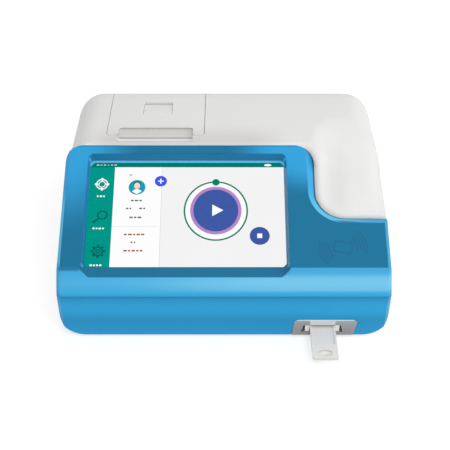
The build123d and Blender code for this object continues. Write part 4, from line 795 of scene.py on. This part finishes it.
# %% Picture: the white column
FIGURE_X = -71.4
patch(disc(-77.0, 88.8, 1.2, 0.9, 24), "grey", 2, disc(-77.0, 88.8, 0.8, 0.5, 24))
patch(disc(FIGURE_X, 77.3, 6.9), "sea", 2)
patch(disc(FIGURE_X, 79.6, 2.9, 3.1, 40), "dark", 3)
patch(disc(FIGURE_X, 78.7, 2.5, 3.0, 40), "pale", 4)
patch(arc_band(FIGURE_X, 70.9, 0.05, 4.6, 32.0, 116.0, 24), "white", 3)
for x, s, widths in ((-71.4, 64.9, (2.4, 3.0, 2.2)), (-77.4, 57.6, (2.2, 1.6)), (-66.4, 57.6, (2.6, 1.8)),
                     (-71.6, 49.4, (3.0, 2.2, 3.4))):
    dashes(x, s, widths, 1.5, "grey", 2)
for x, s, widths in ((-72.0, 34.0, (2.6, 3.4, 2.0, 3.0, 2.8)), (-72.6, 27.0, (1.8, 1.6)),
                     (-72.4, 19.6, (3.2, 2.0, 3.0, 2.2, 2.4))):
    dashes(x, s, widths, 1.4, "brown", 2)
patch(disc(-52.0, 83.0, 5.0), "plus_blue", 3)
for x0, x1, s0, s1 in ((-54.4, -49.6, 82.5, 83.5), (-52.5, -51.5, 80.6, 82.5), (-52.5, -51.5, 83.5, 85.4)):
    patch(bar(x0, x1, s0, s1), "white", 4)
print("picture faces", len(picture.faces))

# %% Picture: the round buttons
BUTTON_X = -6.7
RING_UP = 55.6
BUTTON_UP = 55.9
patch(disc(BUTTON_X, RING_UP, 25.9, 27.1, 96), "white", 1)
patch(disc(BUTTON_X, RING_UP, 26.1, 27.3, 96), "ring_green", 2, disc(BUTTON_X, RING_UP, 24.75, 25.95, 96))
patch(disc(BUTTON_X, BUTTON_UP, 20.8, 21.9, 96), "lilac", 2)
patch(disc(BUTTON_X, BUTTON_UP, 18.2, 19.2, 96), "royal", 3)
patch([(-9.6, 61.2), (-9.6, 50.6), (-0.6, BUTTON_UP)], "white", 4)
patch(disc(BUTTON_X, 81.9, 3.1, 3.1, 40), "ring_green", 3)
patch(disc(28.5, 32.8, 8.0), "royal", 2)
patch(bar(26.5, 30.5, 30.8, 34.8), "white", 3)
screen_picture = make_piece("screen_picture", picture, picture_materials, "case")
print("picture faces", len(screen_picture.data.polygons))

# %% [markdown]
# ## The highlight bead round the glass
# A light-blue bead runs along the joint between the glass and the upper wall of its recess and turns
# down at both corners. It is a painted highlight on that edge, given as a piece. It is a small wedge
# drawn along the edge of the glass, with mitred corners.

# %% Highlight bead round the glass
def gloss_trim(name, code, roughness=0.28):
    return moulded(name, code, roughness, level=0.3, grain=2.0, relief=0.003, drift=0.03)


def offset_line(points, widths):
    """Open line moved sideways by a width of its own for each run, with mitred corners."""
    moved = []
    for k, (x, s) in enumerate(points):
        runs = [j for j in (k - 1, k) if 0 <= j < len(points) - 1]
        rows = []
        for j in runs:
            dx = points[j + 1][0] - points[j][0]
            ds = points[j + 1][1] - points[j][1]
            size = math.hypot(dx, ds)
            rows.append((ds / size, -dx / size, widths[j]))
        if len(rows) == 1:
            moved.append((x + rows[0][0] * rows[0][2], s + rows[0][1] * rows[0][2]))
            continue
        (a, b, u), (c, d, v) = rows
        det = a * d - b * c
        moved.append((x + (u * d - v * b) / det, s + (a * v - c * u) / det))
    return moved


BEAD_FOOT = -6.98
edge = [(-110.2, 95.4), (-110.2, 96.8), (-107.2, 99.8), (46.6, 99.8), (49.6, 96.8), (49.6, 95.4)]
inner = [0.35, 0.5, 0.5, 0.5, 0.35]
outer = [-0.8] * 5
section = [(inner, BEAD_FOOT), (inner, -6.8), (outer, -5.75), (outer, BEAD_FOOT)]
bead = bmesh.new()
rows = []
for widths, n in section:
    rows.append([bead.verts.new(face_point(x, s, n)) for x, s in offset_line(edge, widths)])
for k, row in enumerate(rows):
    following = rows[(k + 1) % len(rows)]
    for j in range(len(edge) - 1):
        bead.faces.new([row[j], row[j + 1], following[j + 1], following[j]])
for end in (0, -1):
    bead.faces.new([row[end] for row in rows])
# painted highlight: the light-blue bead on the glass's upper edge
make_piece("screen_edge_highlight", bead, [gloss_trim("edge_highlight_blue", "5DBDE8")], "case")
print("bead runs", len(edge) - 1)

# %% [markdown]
# ## The card sign
# The right wing carries a raised sign for contactless cards: a tilted card with waves on both sides.
# The strokes stand a tenth of a millimetre out of the face, in a deeper blue.

# %% Card sign
SIGN = (93.4, 18.5)
SIGN_FOOT = -0.04
SIGN_TOP = 0.1
CARD_HALF = (7.2, 4.8)
STROKE = 0.6
WAVES = 4
sign = bmesh.new()


def card_outline(inset):
    """Outline of the tilted card, drawn in by the inset."""
    half_x = CARD_HALF[0] - inset
    half_s = CARD_HALF[1] - inset
    return turned(bar(SIGN[0] - half_x, SIGN[0] + half_x, SIGN[1] - half_s, SIGN[1] + half_s), *SIGN, -9.0)


add_plate(sign, card_outline(0.0), SIGN_FOOT, SIGN_TOP, hole=card_outline(STROKE))
for k in range(WAVES):
    radius = 11.0 + 2.6 * k
    for middle in (16.0, 196.0):
        wave = arc_band(*SIGN, radius - STROKE / 2, radius + STROKE / 2, middle - 34.0, 68.0, 20)
        add_plate(sign, wave, SIGN_FOOT, SIGN_TOP)
make_piece("card_sign", sign, [gloss_trim("sign_blue", "1A6188")], "case")
print("waves on each side", WAVES)

# %% [markdown]
# ## Cross-head screws
# A screw head is a low dome with a cross cut into it for the driver. The head is turned from a short
# profile, and a cross-shaped cutter takes the recess away with a Boolean modifier, whose result is
# then kept as a plain mesh.

# %% Cross-head screws
def cross_screw(radius, height, shank, length):
    """Mesh of one screw: head towards +Z with its seat at 0, shank below."""
    profile = [(0.0, -length), (shank, -length + 0.4), (shank, 0.0), (radius, 0.0), (radius, height * 0.45),
               (radius * 0.86, height * 0.82), (radius * 0.55, height), (0.0, height)]
    head = bmesh.new()
    steps = 28
    rings = []
    for r, z in profile:
        points = disc(0.0, 0.0, r, steps=steps) if r else [(0.0, 0.0)]
        rings.append([head.verts.new((a, b, z)) for a, b in points])
    for low, high in zip(rings, rings[1:]):
        for k in range(steps):
            j = (k + 1) % steps
            corners = [low[k % len(low)], low[j % len(low)], high[j % len(high)], high[k % len(high)]]
            head.faces.new(list(dict.fromkeys(corners)))
    cutter = bmesh.new()
    arm = radius * 0.62
    half = radius * 0.15
    cross = [(half, half), (half, arm), (-half, arm), (-half, half), (-arm, half), (-arm, -half),
             (-half, -half), (-half, -arm), (half, -arm), (half, -half), (arm, -half), (arm, half)]
    add_plate(cutter, cross, height * 0.35, height + 1.0, lay=lambda a, b, c: Vector((a, b, c)))
    parts = []
    for name, part in (("screw_blank", head), ("screw_cutter", cutter)):
        bmesh.ops.recalc_face_normals(part, faces=part.faces)
        data = bpy.data.meshes.new(name)
        part.to_mesh(data)
        part.free()
        holder = bpy.data.objects.new(name, data)
        bpy.context.scene.collection.objects.link(holder)
        parts.append(holder)
    carve = parts[0].modifiers.new("cross", "BOOLEAN")
    carve.operation = "DIFFERENCE"
    carve.object = parts[1]
    carve.solver = "EXACT"
    result = bpy.data.meshes.new_from_object(parts[0].evaluated_get(bpy.context.evaluated_depsgraph_get()))
    for holder in parts:
        bpy.data.objects.remove(holder)
    return result


SCREW_SPIN = 0.7


def screw_set(name, screw, places, turn, node):
    """One piece that holds a node's screws, each driven a little further than the last."""
    mesh = bmesh.new()
    for spin, place in enumerate(places):
        part = bmesh.new()
        part.from_mesh(screw)
        driven = turn @ Matrix.Rotation(SCREW_SPIN * spin, 4, "Z") @ Matrix.Scale(MM, 4)
        part.transform(Matrix.Translation(place) @ driven)
        copy = bpy.data.meshes.new("one_screw")
        part.to_mesh(copy)
        part.free()
        mesh.from_mesh(copy)
        bpy.data.meshes.remove(copy)
    piece = make_piece(name, mesh, [finishes["screw_steel"]], "case")
    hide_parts(node)
    return piece


# %% Screws in their places
upward = Matrix.Identity(4)
downward = Matrix.Rotation(math.pi, 4, "X")
into_face = Matrix.Rotation(math.pi + SLOPE, 4, "X")
SCREWS = (
    ("base_screw_set", "base_screws", (2.8, 1.1, 1.15, 14.7), downward,
     [room_point(x, y, 3.2) for x in (-116.5, 116.5) for y in (-42.2, 102.8)]),
    ("deck_screw_set", "deck_screws", (2.8, 1.6, 1.45, 1.5), upward,
     [room_point(x, y, 6.0) for x in (55.0, 106.0) for y in (-77.2, 89.8)]),
    ("board_screw_set", "board_screws", (2.8, 1.6, 1.0, 0.6), upward,
     [room_point(x, y, 11.6) for x in (-100.0, 30.0) for y in (27.8, 109.8)]),
    ("display_screw_set", "display_screws", (2.8, 1.8, 1.05, 6.5), into_face,
     [face_point(x, s, -14.4) for x in (-121.5, 61.5) for s in (16.0, 90.0)]),
)
for name, node, sizes, turn, places in SCREWS:
    screw_set(name, cross_screw(*sizes), places, turn, node)
print("screw sets", len(SCREWS))

# %% [markdown]
# ## Parts on the main board
# Chips stand on rows of bent legs, and capacitors are aluminium cans in printed sleeves. They are
# built as one piece, in the room that the plain blocks of the solid model hold.

# %% Parts on the main board
def add_block(mesh, across, along, levels, tint, bevel):
    """Block between two values on each axis, with its upper edges drawn in by the bevel."""
    (x0, x1), (y0, y1), (z0, z1) = across, along, levels
    low = bar(x0, x1, y0, y1)
    high = bar(x0 + bevel, x1 - bevel, y0 + bevel, y1 - bevel)
    rings = [[mesh.verts.new(room_point(x, y, z)) for x, y in line]
             for line, z in ((low, z0), (low, z1 - bevel), (high, z1))]
    made = [mesh.faces.new(rings[0]), mesh.faces.new(rings[2])]
    for first, second in zip(rings, rings[1:]):
        for k in range(4):
            j = (k + 1) % 4
            made.append(mesh.faces.new([first[k], first[j], second[j], second[k]]))
    for face in made:
        face.material_index = tint


BOARD_TOP = 11.6
BOARD_X = -105.0
BOARD_Y = 22.8
LEG_PITCH = 0.8
CHIP, LEG, CONNECTOR, SLEEVE = range(4)
board_parts = bmesh.new()
for x0, x1, y0, y1, tall in ((45, 61, 40, 56, 1.6), (69, 79, 42, 54, 1.2), (21, 33, 44, 58, 1.2)):
    left, right = BOARD_X + x0 + 1.2, BOARD_X + x1 - 1.2
    front, rear = BOARD_Y + y0 + 1.2, BOARD_Y + y1 - 1.2
    heights = (BOARD_TOP + 0.2, BOARD_TOP + tall)
    add_block(board_parts, (left, right), (front, rear), heights, CHIP, 0.15)
    for k in range(1, int((rear - front) / LEG_PITCH)):
        y = front + LEG_PITCH * k
        for side in ((left - 1.1, left + 0.2), (right - 0.2, right + 1.1)):
            add_block(board_parts, side, (y - 0.16, y + 0.16), (BOARD_TOP, BOARD_TOP + 0.5), LEG, 0.05)
for x0, x1, y0, y1, tall in ((110, 120, 45, 55, 4.0), (55, 83, 3, 8, 3.0), (123, 129, 20, 40, 6.0)):
    add_block(board_parts, (BOARD_X + x0, BOARD_X + x1), (BOARD_Y + y0, BOARD_Y + y1),
              (BOARD_TOP, BOARD_TOP + tall), CONNECTOR, 0.4)
for k in range(3):
    x, y = BOARD_X + 99 + 9 * k, BOARD_Y + 75
    can_top = BOARD_TOP + 8.6
    add_plate(board_parts, disc(x, y, 3.2, steps=32), BOARD_TOP, can_top, room_point, SLEEVE)
    add_plate(board_parts, disc(x, y, 2.8, steps=32), can_top, can_top + 0.4, room_point, LEG)
sleeve = moulded("capacitor_sleeve", "22344F", 0.35, grain=0.5)
connector = moulded("connector_cream", "DDD6C2", 0.5, grain=0.5)
tin = metal("tinned_leg", "C9CBCC", 0.3)
parts_piece = make_piece("board_parts", board_parts, [finishes["chip_black"], tin, connector, sleeve],
                         "case")
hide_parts("board_chips")
print("board part faces", len(parts_piece.data.polygons))

# %% [markdown]
# ## Sockets on the rear
# Each USB socket has a plastic tongue with four gold strips, the network socket has eight sprung
# wires and two small lamps, and the serial plug is a D-shaped skirt round nine pins. They sit in the
# openings that the solids already have.

# %% USB and network sockets
REAR_Y = 133.8
USB_TOP = 18.6


def rear_point(a, b, c):
    """Across and up on the rear wall, and out of it."""
    return room_point(a, REAR_Y + c, b)


usb = bmesh.new()
for x0 in (-62.0, -42.0):
    add_plate(usb, bar(x0 + 1.9, x0 + 12.7, USB_TOP - 2.0, USB_TOP - 0.6), -13.0, -2.9, rear_point, 0)
    for k in range(4):
        x = x0 + 3.3 + 2.5 * k
        add_plate(usb, bar(x - 0.55, x + 0.55, USB_TOP - 2.06, USB_TOP - 1.98), -12.5, -3.2, rear_point, 1)
usb_black = moulded("usb_tongue", "23262B", 0.4, grain=0.5)
make_piece("usb_tongues", usb, [usb_black, gold], "case")
lan = bmesh.new()
for k in range(8):
    x = -15.6 + 1.02 * k
    add_plate(lan, bar(x - 0.2, x + 0.2, 21.9, 22.3), -12.0, -2.4, rear_point, 0)
for x, tint in ((-18.9, 1), (-5.1, 2)):
    add_plate(lan, disc(x, 22.9, 0.8, 1.2, 20), -1.0, -0.55, rear_point, tint)
lamp_green = moulded("lamp_green", "5FBF6A", 0.3, grain=0.5)
lamp_amber = moulded("lamp_amber", "D9A441", 0.3, grain=0.5)
make_piece("network_contacts", lan, [gold, lamp_green, lamp_amber], "case")
print("rear wall", REAR_Y)

# %% Serial plug
SERIAL_X = -82.5
SERIAL_Z = 17.85
PIN_PITCH = 2.77
PIN_ROWS = ((1.4, 5), (-1.4, 4))


def d_shape(half, tall, grow):
    """Outline of the serial plug, wider at the top."""
    low, high = SERIAL_Z - tall - grow, SERIAL_Z + tall + grow
    left, right = SERIAL_X - half - grow, SERIAL_X + half + grow
    return [(left + 1.5, low), (right - 1.5, low), (right, high), (left, high)]


serial = bmesh.new()
add_plate(serial, d_shape(8.4, 3.9, 0.5), -0.7, 0.9, rear_point, 0, d_shape(8.4, 3.9, 0.0))
add_plate(serial, d_shape(8.3, 3.8, 0.0), -0.7, -0.35, rear_point, 1)
for row, count in PIN_ROWS:
    for k in range(count):
        x = SERIAL_X + (k - (count - 1) / 2) * PIN_PITCH
        add_plate(serial, disc(x, SERIAL_Z + row, 0.5, steps=16), -0.35, 0.5, rear_point, 2)
for x in (-95.0, -70.0):
    nut, bore = (disc(x, SERIAL_Z, radius, steps=6) for radius in (2.6, 1.3))
    add_plate(serial, nut, -0.5, 0.8, rear_point, 0, bore)
make_piece("serial_skirt", serial, [finishes["port_steel"], usb_black, gold], "case")
print("pins", sum(count for row, count in PIN_ROWS))

# %% [markdown]
# ## Marks on the rocker
# A rocker switch wears a stroke for on and a ring for off. Both are printed on its two slopes, so they
# ride with the rocker.

# %% Marks on the rocker
ROCKER_X = 96.0
ROCKER_Z = 24.0
PRINT = (-0.02, 0.04)


def slope_lay(x0, y0, x1, y1):
    """Ruler on one slope of the rocker: along it, up, and out of it."""
    run = math.hypot(x1 - x0, y1 - y0)
    along = ((x1 - x0) / run, (y1 - y0) / run)
    return lambda a, b, c: room_point(x0 + a * along[0] - c * along[1], y0 + a * along[1] + c * along[0], b)


pressed = slope_lay(ROCKER_X - 7.7, REAR_Y - 1.2, ROCKER_X - 0.4, REAR_Y - 0.4)
proud = slope_lay(ROCKER_X - 0.4, REAR_Y - 0.4, ROCKER_X + 6.8, REAR_Y + 1.4)
marks = bmesh.new()
add_plate(marks, bar(3.0, 3.6, ROCKER_Z - 1.8, ROCKER_Z + 1.8), *PRINT, pressed)
add_plate(marks, disc(3.8, ROCKER_Z, 1.7, 1.7, 32), *PRINT, proud, 0, disc(3.8, ROCKER_Z, 1.15, 1.15, 32))
make_piece("rocker_marks", marks, [moulded("mark_white", "E8E8E8", 0.5)], "power_rocker")
print("rocker", ROCKER_X)

# %% [markdown]
# ## The core of the paper roll
# Thermal paper is wound on a short tube of brown board. The tube lines the roll's bore and turns
# with it.

# %% Core of the paper roll
CORE_X = (-85.8, -29.3)
CORE_OUTER = 6.48
CORE_BORE = 5.6


def roll_point(a, b, c):
    """Two ways across the roll, and along its axis."""
    return room_point(c, ROLL_Y + a, ROLL_Z + b)


core = bmesh.new()
add_plate(core, disc(0, 0, CORE_OUTER, steps=48), *CORE_X, roll_point, 0, disc(0, 0, CORE_BORE, steps=48))
kraft = moulded("core_kraft", "9C7B55", 0.75, level=0.2, grain=0.7, relief=0.03)
make_piece("roll_core", core, [kraft], "paper_roll")
print("core length", CORE_X[1] - CORE_X[0])

# %% [markdown]
# ## Floor
# The floor is a plain pale sheet. The camera and the reflections see it as nearly white, with some
# light of its own, and everything else sees a plain pale grey, so it throws back no more light than a
# real table would. The object's shadow stays on it.

# %% Floor
FLOOR_HALF = 4.0
FLOOR_GLOW = 0.57


def looking(finish):
    """1 for the rays that see a thing straight, in a reflection or through glass."""
    kinds = ("Is Camera Ray", "Is Glossy Ray", "Is Transmission Ray")
    camera_ray, glossy_ray, glass_ray = (finish.node("ShaderNodeLightPath", output=kind) for kind in kinds)
    return camera_ray.top(glossy_ray).top(glass_ray)


def floor_white():
    finish = Finish("floor_white")
    tint = finish.blend(finish.noise(120.0), ink("D8D8D8"), ink("DCDCDC"))
    matt = {"Roughness": 0.9, "Specular IOR Level": 0.0}
    plain = finish.node("ShaderNodeBsdfPrincipled", {}, {"Base Color": tint, **matt})
    glow = {"Emission Color": ink("FFFFFF"), "Emission Strength": FLOOR_GLOW}
    seen = finish.node("ShaderNodeBsdfPrincipled", {}, {"Base Color": ink("CCCCCC"), **matt, **glow})
    mixed = finish.node("ShaderNodeMixShader", {}, {0: looking(finish), 1: plain, 2: seen})
    finish.node("ShaderNodeOutputMaterial", {}, {"Surface": mixed})
    return finish.material


floor_mesh = bmesh.new()
for x, y in bar(-FLOOR_HALF, FLOOR_HALF, -FLOOR_HALF, FLOOR_HALF):
    floor_mesh.verts.new((x, y, 0.0))
floor_mesh.faces.new(floor_mesh.verts)
floor_data = bpy.data.meshes.new("floor")
floor_mesh.to_mesh(floor_data)
floor_mesh.free()
floor_data.materials.append(floor_white())
floor = bpy.data.objects.new("floor", floor_data)
bpy.context.scene.collection.objects.link(floor)
print("floor side", 2 * FLOOR_HALF)

# %% [markdown]
# ## Light
# A plain studio: an even pale room, a large soft lamp above the front and a weaker one at the right.
# Together they add up to about one, so that a colour renders about as it is written. The room is
# white for the camera, for reflections and through glass.

# %% Room light
ROOM_LIGHT = 0.55
world = bpy.data.worlds.new("studio")
bpy.context.scene.world = world
room = Finish("studio", world)
dim = room.node("ShaderNodeBackground", {}, {"Color": ink("FFFFFF"), "Strength": ROOM_LIGHT})
white = room.node("ShaderNodeBackground", {}, {"Color": ink("FFFFFF"), "Strength": 1.0})
lit = room.node("ShaderNodeMixShader", {}, {0: looking(room), 1: dim, 2: white})
room.node("ShaderNodeOutputWorld", {}, {"Surface": lit})
print("room nodes", len(room.tree.nodes))

# %% Lamps
def softbox(name, place, target, size, power):
    """Square soft lamp that faces a point."""
    data = bpy.data.lights.new(name, "AREA")
    data.shape = "SQUARE"
    data.size = size
    data.energy = power
    lamp = bpy.data.objects.new(name, data)
    bpy.context.scene.collection.objects.link(lamp)
    lamp.location = place
    lamp.rotation_euler = (Vector(target) - Vector(place)).to_track_quat("-Z", "Y").to_euler()
    return lamp


softbox("key", (0.25, -1.05, 1.25), (0.0, -0.02, 0.06), 1.1, 11.0)
softbox("side", (1.35, 0.05, 0.75), (0.05, 0.0, 0.06), 0.9, 6.0)
print("lamps", [lamp.name for lamp in bpy.data.lights])
